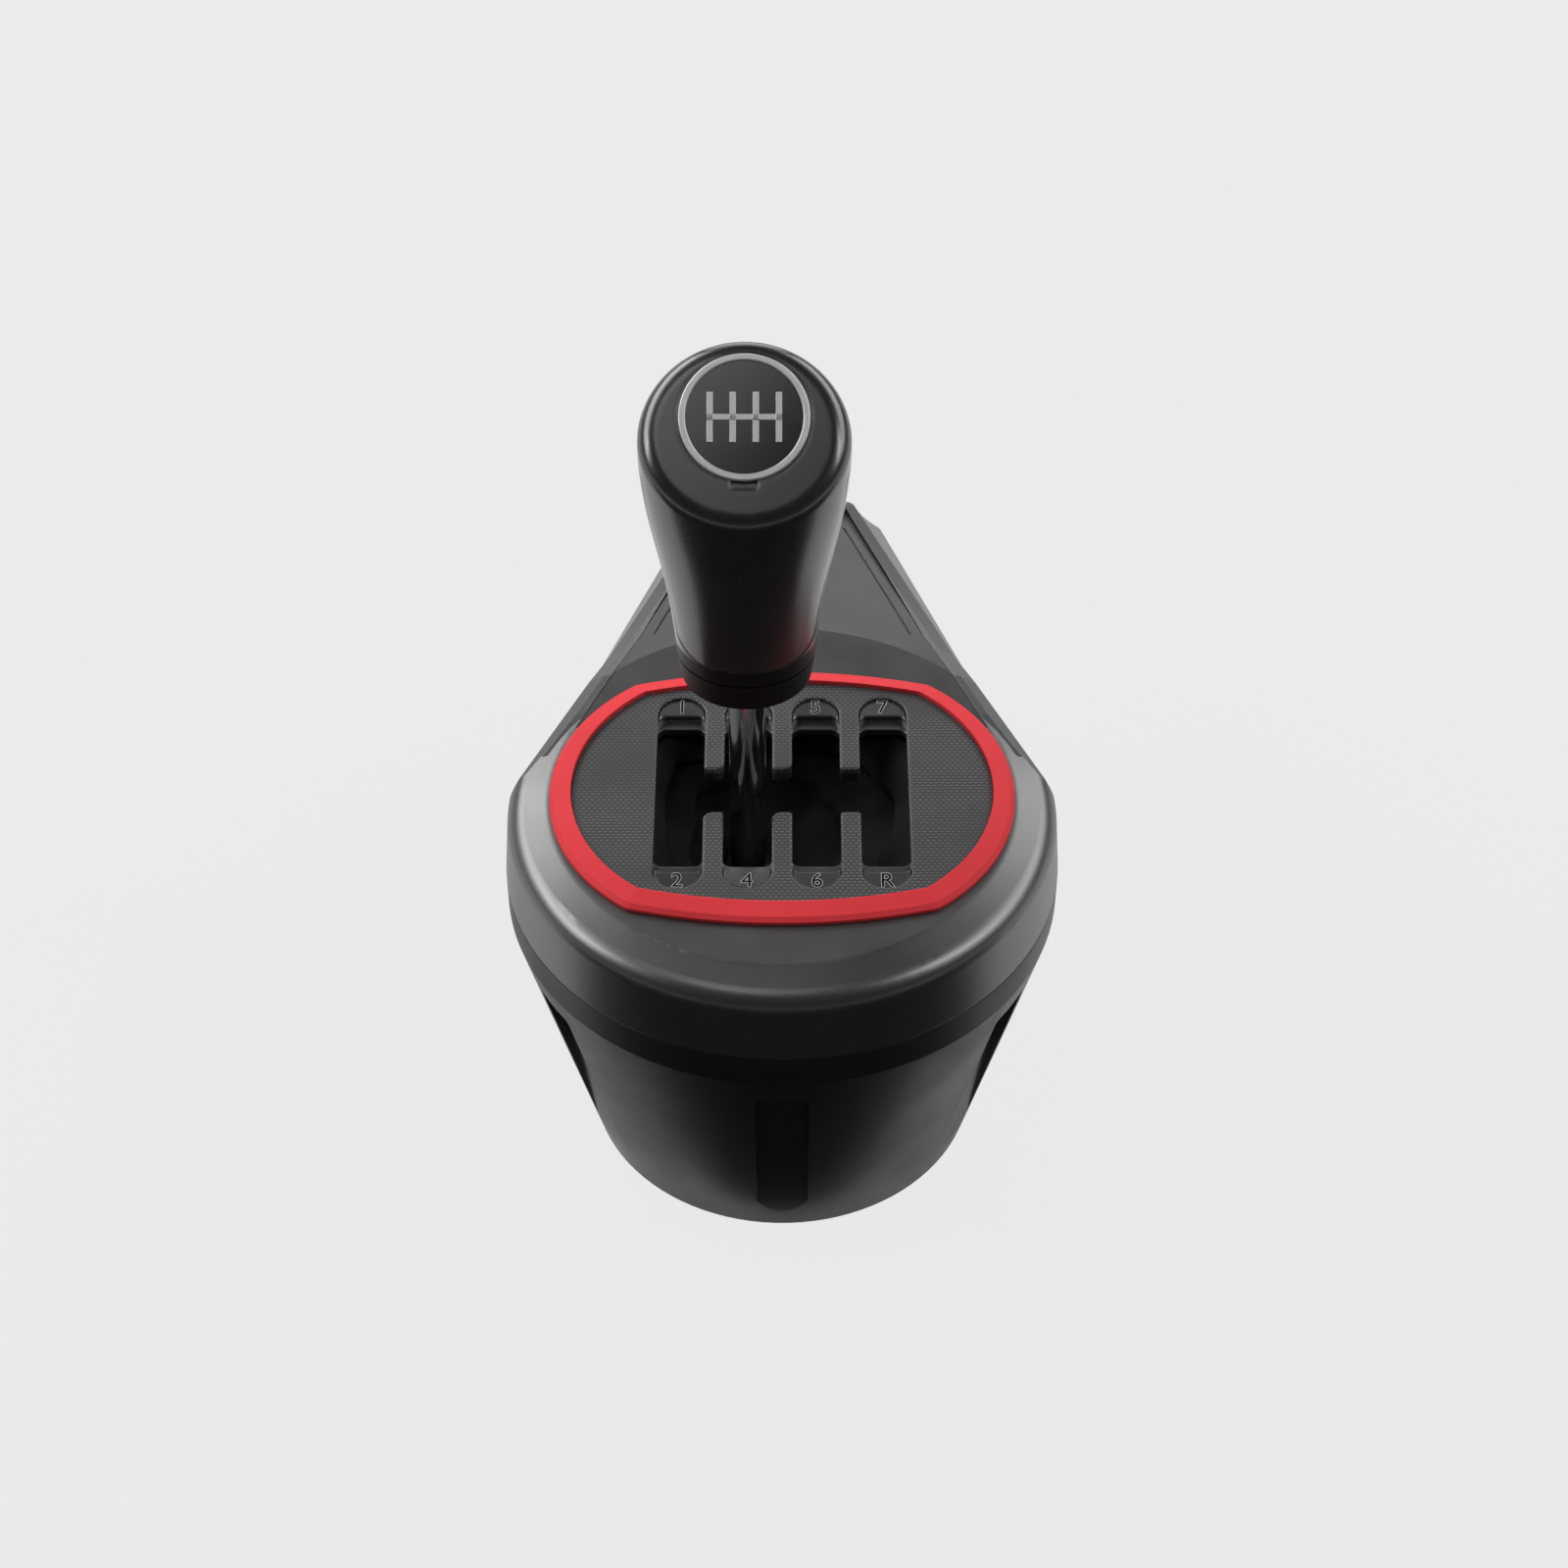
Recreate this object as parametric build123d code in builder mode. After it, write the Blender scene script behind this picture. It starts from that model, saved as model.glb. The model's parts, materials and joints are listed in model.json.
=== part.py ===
from build123d import *
import math
import os

# A desk-clamped gear shifter for sim racing: a bucket-shaped housing with a tapering tail,
# an H-pattern gate and a tall knob on a chromed rod.
# Frame: X to the driver's right, Y away from the driver towards the tail, Z up.
# Origin: the bucket's axis, on the surface that the rubber foot stands on. Millimetres.

os.makedirs("parts", exist_ok=True)

# Clearances and cutting
overrun = 2.0
running_gap = 0.05
trim_gap = 0.15
soft_gap = 0.3

# Housing, front part, a body of revolution about Z
wall = 2.6
foot_height = 1.5
base_radius = 53.6
lip_inset = 0.1
lip_z = 81.9
seam_radius = 74.6
seam_z = 91.7
seam_edge = 0.5
shoulder_radius = 73.2
shoulder_z = 111.3
shoulder_round = 6.0
ledge_radius = 62.5
ledge_round = 6.0
ledge_z = 114.0
back_flat_y = 58.0

# Housing, tail: half widths and places of the side rails
tail_start_y = 24.5
ramp_start_y = 16.5
ramp_end_y = 32.0
ramp_drop = 0.7
rail_front_y = -80.0
rail_middle_y = 60.0
seam_rail_rear = 28.2
seam_rear_y = 142.0
shoulder_rail_front = 110.3
shoulder_rail_middle = 48.2
shoulder_rail_rear = 20.5
shoulder_rear_y = 137.2
rim_width = 4.2
tail_corner = 6.0
rim_corner = 3.5
deck_break_y = 48.0
deck_drop = 8.0
tray_start_y = 26.0
tail_under_z = 78.0
under_inset = 3.0

# Scoops in the bucket
scoop_width = 14.0
scoop_depth = 5.0
scoop_top_z = 74.5
scoop_low_z = 9.0
scoop_corner = 1.6
scoop_spread = 57.5

# Gate
gate_side_radius = 47.5
gate_side_centre = 8.7
gate_end_radius = 147.5
gate_end_apex = 42.6
gate_top_z = 116.0
column_pitch = 18.2
column_width = 12.9
column_end_y = 36.6
column_open_y = 26.5
column_open_corner = 2.4
pad_start_y = 30.0
pad_corner = 2.4
pad_edge = 0.3
cross_half = 8.3
eased_fingers = 2
finger_round_large = 2.6
finger_round_small = 0.9
cover_thickness = 1.6
cover_edge = 0.6
cover_edge_depth = 0.25
insert_margin = 0.8
pad_drop = 0.8
step_drop = 2.6
frame_margin = 4.0
frame_thickness = 1.6
window_half_x = 35.5
window_half_y = 31.0
window_corner = 9.0
frame_ear_place = 40.5
frame_ear_radius = 3.6

# Trim ring
ring_width = 5.8
ring_wall_height = 0.9
ring_bevel_height = 1.0
ring_bevel_width = 1.2
ring_height = 3.2
ring_lip = 0.3
ring_corner = 4.5
ring_inner_corner = 1.3

# Tail panel
panel_thickness = 1.8
panel_sink = 0.2
panel_break_radius = 68.0
panel_rear_drop = 9.4
panel_front_half = 56.0
panel_front_y = 26.8
panel_middle_half = 39.4
panel_middle_y = 66.9
panel_rear_half = 18.6
panel_rear_y = 131.5
panel_corner = 3.0
groove_inset = 3.2
groove_width = 0.55
groove_depth = 0.4
groove_rear_inset = 9.0

# Lever
lever_x = -9.1
pivot_z = 30.0
rod_radius = 4.8
rod_foot = 5.5
rod_high_z = 213.0
rod_edge = 0.6
hub_half = 9.0
hub_low = 5.0
hub_high = 14.0
hub_edge = 1.2
stub_radius = 5.0
stub_low = 12.3
axle_radius = 3.0
axle_bush_radius = 4.5
axle_flange_radius = 5.6
rod_pin_radius = 1.5
rod_pin_height = 10.0

# Gimbal yoke
yoke_inner_x = 11.5
yoke_outer_x = 17.0
yoke_inner_y = 18.5
yoke_outer_y = 25.0
yoke_half_height = 6.5
yoke_edge = 1.5
upright_inner_y = 27.0
upright_outer_y = 32.0
upright_half_x = 12.0
upright_rise = 10.0
upright_corner = 3.0
pin_inner_y = 19.0
pin_front_y = 38.0
pin_rear_y = 35.0
bush_radius = 4.5
bush_flange_radius = 6.0
bush_flange = 1.2

# Base and chassis
base_plate_thickness = 3.0
base_screw_ring = 46.0
base_screw_angle = 0.0
base_boss_radius = 4.0
base_boss_height = 6.5
foot_radius = 52.0
mount_half_x = 30.0
mount_half_y = 20.0
mount_hole_radius = 2.5
mount_clear_radius = 3.3
chassis_thickness = 3.0
chassis_half_x = 26.0
chassis_half_y = 37.5
chassis_corner = 5.0
chassis_screw_x = 19.0
chassis_screw_y = 10.0

# Centring springs and their arm
post_inner_x = 15.0
post_outer_x = 19.0
post_inner_y = 33.0
post_rise = 16.5
arm_inner_y = 33.4
arm_outer_y = 37.4
arm_half_width = 3.0
arm_ring_radius = 6.0
arm_drop = 12.0
arm_tip = 2.5
spring_radius = 2.5
spring_wire_radius = 0.4
spring_turns = 6
spring_peg_radius = 1.5
spring_peg_length = 2.0

# Detent
plunger_radius = 2.9
plunger_tip = 14.9
plunger_top = 7.6
plunger_bore_top = 4.8
detent_spring_radius = 2.0
detent_wire_radius = 0.25
detent_turns = 3
cam_radius = 19.0
cam_half_y = 8.5
cam_edge_rise = 2.2
cam_centre_gap = 1.1
cam_hump_gap = 0.35
cam_hump_y = 1.75
cam_notch_gap = 0.75
cam_notch_y = 3.35
cam_stop_rise = 0.5
cam_stop_y = 5.2
cam_left_angle = 36.4
cam_right_angle = 25.2
pedestal_high_z = 12.5
pedestal_half_x = 6.0

# Sensors and electronics
magnet_radius = 3.0
magnet_length = 2.0
magnet_holder_radius = 5.0
magnet_holder_inner_y = 32.8
sensor_cap_depth = 6.0
sensor_cap_half_y = 8.0
sensor_cap_half_z = 6.0
sensor_cap_bore = 4.2
sensor_cap_bore_depth = 4.0
sensor_gap = 1.0
sensor_size = 4.0
sensor_thickness = 1.2
board_half_x = 12.0
board_half_z = 14.0
board_centre_z = 25.5
board_thickness = 1.6
board_post_radius = 2.4
board_hole_inset = 3.2
connector_length = 12.0
connector_depth = 5.0
connector_height = 6.0
connector_z = 16.0

# Boot
boot_wall = 1.0
boot_collar_radius = 7.0
boot_collar_height = 4.0
boot_collar_z = 84.0
retainer_height = 1.7
retainer_width = 5.0
boot_heights = (0.0, 4.2, 6.8, 11.0, 13.6, 17.6, 21.2)
boot_half_widths = (38.5, 30.5, 32.0, 20.5, 22.0, 10.5, 6.8)
boot_half_depths = (33.0, 26.0, 27.5, 18.0, 19.5, 9.5, 6.8)
boot_corners = (16.0, 14.0, 15.0, 11.0, 12.0, 8.0, 6.2)
boot_shift_shares = (0.0, 0.15, 0.25, 0.5, 0.6, 0.9, 1.0)

# Knob
knob_low_z = 157.0
knob_collar_z = 171.3
knob_groove_z = 166.0
knob_groove_width = 0.7
knob_groove_depth = 0.5
knob_bottom_round = 2.6
knob_face_z = 239.2
knob_face_tilt = 35.3
knob_rim_round = 5.0
knob_wall = 2.8
knob_parting_y = -6.0
knob_parting_depth = 7.5
knob_parting_gap = 0.3
knob_corner_round = 9.0
knob_corner_x = 18.15
knob_levels = (157.0, 171.3, 199.0, 218.0, 232.0, 262.0)
knob_half_widths = (16.3, 18.2, 22.0, 25.3, 26.2, 26.2)
knob_half_depths = (14.6, 15.9, 18.7, 20.8, 21.5, 21.5)
disc_rise = 1.1
bezel_radius = 16.05
bezel_width = 1.7
bezel_depth = 1.5
bezel_proud = 0.35
bezel_edge = 0.25
cap_sink = 0.15
notch_width = 6.5
notch_length = 2.1
notch_depth = 1.2
insert_radius = 8.0
insert_low_z = 160.0
insert_high_z = 222.0
insert_web = 3.0
insert_web_levels = (178.0, 206.0)

# Screws
screw_radius = 1.5
screw_head_radius = 2.8
screw_head_height = 1.8
base_screw_length = 7.0
chassis_screw_length = 4.0
frame_screw_length = 3.2
board_screw_length = 5.0
rail_screw_length = 6.0
rail_screw_inset = 9.0
housing_screw_length = 14.0
housing_screw_seat = 7.0
housing_boss_radius = 4.0
housing_boss_inset = 6.1
housing_boss_rise = 10.3
housing_boss_angles = (-60.0, -120.0, 12.0, 168.0)
tail_boss_x = 23.0
tail_boss_y = 118.0
recess_radius = 3.2

# Desk clamp
spindle_y = 75.0
spindle_radius = 4.0
spindle_low_z = 4.0
spindle_high_z = 86.5
wheel_radius = 11.5
wheel_low_z = 3.0
wheel_height = 10.0
wheel_lobes = 8
wheel_lobe_radius = 2.2
wheel_edge = 1.0
clamp_bush_radius = 6.5
clamp_bush_flange_radius = 8.5
clamp_bush_flange = 1.6
spindle_collar_radius = 7.5
spindle_collar_height = 4.0
jaw_low_z = 17.0
jaw_high_z = 31.0
jaw_half_x = 15.0
jaw_back_y = 85.0
jaw_corner = 3.0
arm_plate_low_z = 20.0
arm_plate_high_z = 28.0
arm_plate_half_x = 20.0
arm_plate_end_y = 132.0
arm_plate_corner = 5.0
jaw_slide_gap = 0.3
flank_gap = 0.6
rail_half_x = 9.0
rail_thickness = 4.0
rail_low_z = 15.0
rail_high_z = 74.0
pad_thickness = 2.6
pad_front_y = 90.0
pad_rear_y = 131.0
pad_half_x = 18.5
clamp_pad_corner = 4.0
tail_pad_thickness = 2.4

# Socket held in the seam of the tail's rear wall
socket_radius = 6.0
socket_bore = 4.6
socket_length = 14.0
socket_bore_depth = 8.0
socket_edge = 0.5
socket_pin_radius = 0.45
socket_pin_ring = 2.4
socket_pin_count = 5
socket_pin_length = 5.0

# Derived values
base_z = foot_height
lip_radius = seam_radius - lip_inset
cone_slope = (lip_radius - base_radius) / lip_z
plate_top_z = base_z + base_plate_thickness
chassis_top_z = plate_top_z + chassis_thickness
base_screw_depth = base_screw_length + screw_head_height - base_plate_thickness + trim_gap
deck_tilt = math.atan(deck_drop / (seam_rear_y - deck_break_y))
columns = [(i - 1.5) * column_pitch for i in range(4)]
column_half = column_width / 2
cover_low_z = gate_top_z - cover_thickness
slab_low_z = ledge_z - wall
frame_high_z = slab_low_z
frame_low_z = frame_high_z - frame_thickness
face_lean = math.radians(knob_face_tilt)
knob_face = Plane(
    origin=(lever_x, 0, knob_face_z),
    x_dir=(1, 0, 0),
    z_dir=(0, -math.sin(face_lean), math.cos(face_lean)),
)
pivot = Plane(origin=(lever_x, 0, pivot_z), x_dir=(1, 0, 0), z_dir=(0, 0, 1))


def cone_radius(z):
    """Outer radius of the tapered bucket at height z."""
    return base_radius + cone_slope * z


def seam_half(y):
    """Half width of the tail at the seam: a line to its rear corner that touches the round part."""
    reach = math.hypot(seam_rail_rear, seam_rear_y)
    lean = math.atan2(seam_rail_rear, seam_rear_y) + math.acos(seam_radius / reach)
    return seam_rail_rear + (seam_rear_y - y) / math.tan(lean)


def slanted_plane(z):
    """Plane of a tail rail: level from side to side, at z at the deck's break, falling to the rear."""
    return Plane(
        origin=(0, deck_break_y, z),
        x_dir=(1, 0, 0),
        z_dir=(0, math.sin(deck_tilt), math.cos(deck_tilt)),
    )


def along_slant(y):
    """Distance along a slanted plane from the deck's break to the level place y."""
    return (y - deck_break_y) / math.cos(deck_tilt)


def tail_section(rows, corner):
    """Closed outline through the right half's (half width, y) rows, mirrored, rear corners rounded."""
    mirrored = [(-x, y) for x, y in reversed(rows)]
    with BuildSketch() as section:
        with BuildLine():
            Polyline(*rows, *mirrored, close=True)
        make_face()
        if corner > 0:
            fillet(section.vertices().group_by(Axis.Y)[-1], corner)
    return section.sketch


def shoulder_half(y):
    """Half width of the tail at the shoulder, in two straight runs that meet at rail_middle_y."""
    if y < rail_middle_y:
        share = (rail_middle_y - y) / (rail_middle_y - rail_front_y)
        return shoulder_rail_middle + share * (shoulder_rail_front - shoulder_rail_middle)
    share = (shoulder_rear_y - y) / (shoulder_rear_y - rail_middle_y)
    return shoulder_rail_rear + share * (shoulder_rail_middle - shoulder_rail_rear)


def tail_envelope(inset):
    """Leaning side walls from the seam to the shoulder and the rim's bevel: level, then slanted."""
    shoulder_end = shoulder_rear_y - inset
    spans = (
        (Plane.XY.offset, (rail_front_y, deck_break_y), 0, 0),
        (slanted_plane, (deck_break_y, rail_middle_y), tail_corner, rim_corner),
    )
    with BuildPart() as envelope:
        for plane_at, ys, low_corner, high_corner in spans:
            slanting = high_corner > 0
            low_rows = [(seam_half(y) - inset, y) for y in ys]
            high_rows = [(shoulder_half(y), along_slant(y) if slanting else y) for y in ys]
            if slanting:
                low_rows.append((seam_half(seam_rear_y) - inset, seam_rear_y - inset))
                high_rows.append((shoulder_half(shoulder_rear_y), along_slant(shoulder_end)))
            shoulder_rows = [(x - inset, y) for x, y in high_rows]
            rim_rows = [(x - inset - rim_width, y) for x, y in high_rows]
            if slanting:
                rim_rows[-1] = (rim_rows[-1][0], along_slant(shoulder_end - rim_width))
            with BuildSketch(Plane.XY.offset(seam_z)):
                add(tail_section(low_rows, low_corner))
            with BuildSketch(plane_at(shoulder_z - inset)):
                add(tail_section(shoulder_rows, high_corner))
            loft(ruled=True)
            with BuildSketch(plane_at(shoulder_z - inset)):
                add(tail_section(shoulder_rows, high_corner))
            with BuildSketch(plane_at(ledge_z - inset)):
                add(tail_section(rim_rows, high_corner))
            loft(ruled=True)
    return envelope.part


def upper_body(inset):
    """The upper housing as one full body, or with an inset its hollow."""
    crown_z = ledge_z - inset
    shoulder = (shoulder_radius - inset, shoulder_z - inset)
    with BuildPart() as body:
        with BuildSketch(Plane.XZ) as profile:
            with BuildLine():
                Polyline(
                    (0, seam_z),
                    (seam_radius - inset, seam_z),
                    shoulder,
                    (ledge_radius, crown_z),
                    (0, crown_z),
                    close=True,
                )
            make_face()
            fillet(profile.vertices().sort_by_distance(shoulder)[0], shoulder_round)
            fillet(profile.vertices().sort_by_distance((ledge_radius, crown_z))[0], ledge_round)
        revolve(axis=Axis.Z)
        with BuildSketch(Plane.YZ):
            with BuildLine():
                Polyline(
                    (tail_start_y, seam_z),
                    (seam_rear_y, seam_z),
                    (seam_rear_y, crown_z),
                    (ramp_end_y, crown_z),
                    (ramp_start_y, crown_z - ramp_drop),
                    (ramp_start_y, shoulder_z - inset),
                    (tail_start_y, shoulder_z - inset),
                    close=True,
                )
            make_face()
        extrude(amount=seam_radius, both=True)
        add(tail_envelope(inset), mode=Mode.INTERSECT)
    return body.part


def tray_section(inset):
    """The tail tray's outline, from inside the bucket to its rear corners, moved inwards."""
    rows = [
        (seam_half(tray_start_y) - inset, tray_start_y),
        (seam_half(seam_rear_y) - inset, seam_rear_y - inset),
    ]
    return tail_section(rows, tail_corner)


def lower_body(inset):
    """The lower housing as one full body, or with an inset its hollow: tapered bucket and tail tray."""
    rim_z = seam_z - seam_edge
    tray_z = tail_under_z + inset
    with BuildPart() as body:
        with BuildSketch(Plane.XZ):
            with BuildLine():
                Polyline(
                    (0, base_z),
                    (cone_radius(base_z) - inset, base_z),
                    (lip_radius - inset, lip_z),
                    (seam_radius - inset, rim_z),
                    (seam_radius - inset - seam_edge, seam_z),
                    (0, seam_z),
                    close=True,
                )
            make_face()
        revolve(axis=Axis.Z)
        with BuildSketch(Plane.XY.offset(base_z)):
            with BuildLine():
                Polyline(
                    (-seam_radius, back_flat_y - inset),
                    (seam_radius, back_flat_y - inset),
                    (seam_radius, seam_rear_y),
                    (-seam_radius, seam_rear_y),
                    close=True,
                )
            make_face()
        extrude(amount=tray_z - base_z, mode=Mode.SUBTRACT)
        with BuildSketch(Plane.XY.offset(tray_z)):
            add(tray_section(inset + under_inset))
        with BuildSketch(Plane.XY.offset(rim_z)):
            add(tray_section(inset))
        loft(ruled=True)
        with BuildSketch(Plane.XY.offset(rim_z)):
            add(tray_section(inset))
        with BuildSketch(Plane.XY.offset(seam_z)):
            add(tray_section(inset + seam_edge))
        loft(ruled=True)
    return body.part


def scoop_body(grow, out):
    """The three scoops: slots whose flat floors sink into the bucket from a feathered lower end."""
    low = cone_radius(scoop_low_z) - grow
    high = cone_radius(scoop_top_z) - scoop_depth - grow
    length = math.hypot(high - low, scoop_top_z - scoop_low_z)
    with BuildPart() as scoops:
        for angle in (-90 - scoop_spread, -90, -90 + scoop_spread):
            turn = math.radians(angle)
            outwards = (math.cos(turn), math.sin(turn))
            lean = math.atan2(high - low, scoop_top_z - scoop_low_z)
            floor = Plane(
                origin=(low * outwards[0], low * outwards[1], scoop_low_z),
                x_dir=(-outwards[1], outwards[0], 0),
                z_dir=(
                    math.cos(lean) * outwards[0],
                    math.cos(lean) * outwards[1],
                    -math.sin(lean),
                ),
            )
            with BuildSketch(floor) as mouth:
                with BuildLine():
                    Polyline(
                        (-scoop_width / 2 - grow, 0),
                        (scoop_width / 2 + grow, 0),
                        (scoop_width / 2 + grow, length + grow),
                        (-scoop_width / 2 - grow, length + grow),
                        close=True,
                    )
                make_face()
                fillet(mouth.vertices().group_by(Axis.Y)[-1], scoop_corner + grow)
            extrude(amount=out)
    return scoops.part


def circle_meeting(side_radius, end_radius):
    """Corner of the gate outline, where a side arc meets an end arc."""
    drop = gate_end_radius - gate_end_apex
    span = math.hypot(gate_side_centre, drop)
    along = (side_radius**2 - end_radius**2 + span**2) / (2 * span)
    across = math.sqrt(side_radius**2 - along**2)
    ux = -gate_side_centre / span
    uy = -drop / span
    return gate_side_centre + along * ux - across * uy, along * uy + across * ux


def gate_outline(grow, corner):
    """Four-arc outline of the gate, moved outwards by grow, with rounded corners."""
    x, y = circle_meeting(gate_side_radius + grow, gate_end_radius + grow)
    side_x = gate_side_centre + gate_side_radius + grow
    end_y = gate_end_apex + grow
    with BuildSketch() as outline:
        with BuildLine():
            ThreePointArc((x, -y), (side_x, 0), (x, y))
            ThreePointArc((x, y), (0, end_y), (-x, y))
            ThreePointArc((-x, y), (-side_x, 0), (-x, -y))
            ThreePointArc((-x, -y), (0, -end_y), (x, -y))
        make_face()
        fillet(outline.vertices(), corner)
    return outline.sketch


def ring_outline(grow):
    """The ring's outline at a distance from its inner edge, with a corner that grows outwards."""
    share = grow / ring_width
    return gate_outline(grow, ring_inner_corner + share * (ring_corner - ring_inner_corner))


def gate_slots(end_y, shrink, rounded_ends):
    """The H pattern: four columns and the cross slot, with the fingers' corners rounded."""
    half = column_half - shrink
    cross = cross_half - shrink
    with BuildSketch() as slots:
        with Locations(*[(x, 0) for x in columns]):
            if rounded_ends:
                SlotOverall(2 * (end_y - shrink), 2 * half, rotation=90)
            else:
                RectangleRounded(2 * half, 2 * end_y, column_open_corner)
        Rectangle(columns[-1] - columns[0] + half, 2 * cross)
        for i, (left, right) in enumerate(zip(columns, columns[1:])):
            eased = i < eased_fingers
            for x, y, large in (
                (left + half, cross, False),
                (right - half, cross, eased),
                (left + half, -cross, eased),
                (right - half, -cross, False),
            ):
                corner = slots.vertices().sort_by_distance((x, y, 0))[0]
                fillet(corner, finger_round_large if large else finger_round_small)
    return slots.sketch


def panel_body(grow, ring_room, above, below):
    """The tail panel's outline moved outwards, from above its face to below its back.

    Its face is level inside a circle about the bucket's axis and falls away as a cone outside it."""
    face_z = ledge_z - panel_sink
    slope = panel_rear_drop / (panel_rear_y - panel_break_radius)
    reach = panel_rear_y + panel_front_half
    fall = slope * (reach - panel_break_radius)
    rows = [
        (panel_front_half + grow, panel_front_y - grow),
        (panel_middle_half + grow, panel_middle_y),
        (panel_rear_half + grow, panel_rear_y + grow),
    ]
    top = [(0, face_z), (panel_break_radius, face_z), (reach, face_z - fall)]
    under = [(r, z - panel_thickness - below) for r, z in reversed(top)]
    with BuildPart() as block:
        with BuildSketch(Plane.XY.offset(face_z - fall - panel_thickness - below)):
            add(tail_section(rows, panel_corner))
            add(ring_outline(ring_width + ring_room), mode=Mode.SUBTRACT)
        extrude(amount=fall + panel_thickness + below + above)
        with BuildPart(mode=Mode.INTERSECT):
            with BuildSketch(Plane.XZ):
                with BuildLine():
                    Polyline(*[(r, z + above) for r, z in top], *under, close=True)
                make_face()
            revolve(axis=Axis.Z)
    return block.part


def knob_half(level, halves):
    """Half width or half depth of the knob at a height, between its named levels."""
    spans = list(zip(knob_levels, halves))
    for (z0, a0), (z1, a1) in zip(spans, spans[1:]):
        if z0 <= level <= z1:
            return a0 + (a1 - a0) * (level - z0) / (z1 - z0)
    return halves[-1]


def knob_body(inset):
    """The knob as one full body up to its slanted face, moved inwards by an inset."""
    with BuildPart() as body:
        for z, a, b in zip(knob_levels, knob_half_widths, knob_half_depths):
            with BuildSketch(Plane(origin=(lever_x, 0, z))):
                Ellipse(a - inset, b - inset)
        loft()
        split(bisect_by=knob_face.offset(-inset), keep=Keep.BOTTOM)
    return body.part


def knob_rear_region(gap):
    """Space of the rear shell: behind the parting plane, under the slanted parting face, and
    round the front shell's two low corners."""
    reach = 2 * knob_half_depths[-1]
    with BuildPart() as region:
        with BuildSketch(Plane.XY.offset(knob_collar_z)):
            with BuildLine():
                Polyline(
                    (lever_x - reach, knob_parting_y + gap),
                    (lever_x + reach, knob_parting_y + gap),
                    (lever_x + reach, reach),
                    (lever_x - reach, reach),
                    close=True,
                )
            make_face()
        extrude(amount=knob_levels[-1] - knob_collar_z)
        split(bisect_by=knob_face.offset(-knob_parting_depth - gap), keep=Keep.BOTTOM)
        with BuildSketch(Plane.XZ.offset(-knob_parting_y - gap)):
            for side in (-1, 1):
                inner_x = lever_x + side * (knob_corner_x - knob_corner_round)
                outer_x = lever_x + side * reach
                with Locations(((inner_x + outer_x) / 2, knob_collar_z + knob_corner_round / 2)):
                    Rectangle(abs(outer_x - inner_x), knob_corner_round)
                with Locations((inner_x, knob_collar_z + knob_corner_round)):
                    Circle(knob_corner_round + gap, mode=Mode.SUBTRACT)
        extrude(amount=reach)
    return region.part


def screw(plane, length):
    """Pan-head screw: its head's underside lies in the plane and its shank goes along the normal."""
    with BuildPart() as fastener:
        with BuildSketch(plane.offset(-screw_head_height)):
            Circle(screw_head_radius)
        extrude(amount=screw_head_height)
        with BuildSketch(plane):
            Circle(screw_radius)
        extrude(amount=length)
        with BuildSketch(plane.offset(-screw_head_height)):
            RegularPolygon(screw_radius, 6)
        extrude(amount=screw_head_height / 2, mode=Mode.SUBTRACT)
    return fastener.part


def coil(start, direction, length, radius, wire, turns):
    """Round-wire coil spring between two flat seats that lie a length apart along a direction."""
    margin = wire + trim_gap
    first = Vector(*start) + Vector(*direction) * margin
    run = length - 2 * margin
    with BuildPart() as spring:
        with BuildLine() as path:
            Helix(
                pitch=run / turns,
                height=run,
                radius=radius,
                center=tuple(first),
                direction=direction,
            )
        with BuildSketch(Plane(origin=path.line @ 0, z_dir=path.line % 0)):
            Circle(wire)
        sweep()
    return spring.part


# Fastener places
base_screw_places = [
    (base_screw_ring * math.cos(math.radians(a)), base_screw_ring * math.sin(math.radians(a)))
    for a in (base_screw_angle + 90 * i for i in range(4))
]
chassis_screw_places = [
    (lever_x + sx * chassis_screw_x, sy * chassis_screw_y) for sx in (-1, 1) for sy in (-1, 1)
]
mount_places = [(sx * mount_half_x, sy * mount_half_y) for sx in (-1, 1) for sy in (-1, 1)]
frame_ear_places = [
    (sx * frame_ear_place, sy * frame_ear_place) for sx in (-1, 1) for sy in (-1, 1)
]
housing_boss_ring = seam_radius - housing_boss_inset
bucket_boss_places = [
    (housing_boss_ring * math.cos(math.radians(a)), housing_boss_ring * math.sin(math.radians(a)))
    for a in housing_boss_angles
]
tail_boss_places = [(-tail_boss_x, tail_boss_y), (tail_boss_x, tail_boss_y)]
housing_screw_places = bucket_boss_places + tail_boss_places
housing_seat_z = seam_z - housing_screw_seat
rail_screw_levels = (rail_low_z + rail_screw_inset, rail_high_z - rail_screw_inset)
board_front_y = pin_rear_y + 2 * magnet_length + sensor_gap
board_places = [
    (sx * (board_half_x - board_hole_inset), sz * (board_half_z - board_hole_inset))
    for sx in (-1, 1)
    for sz in (-1, 1)
]

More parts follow.
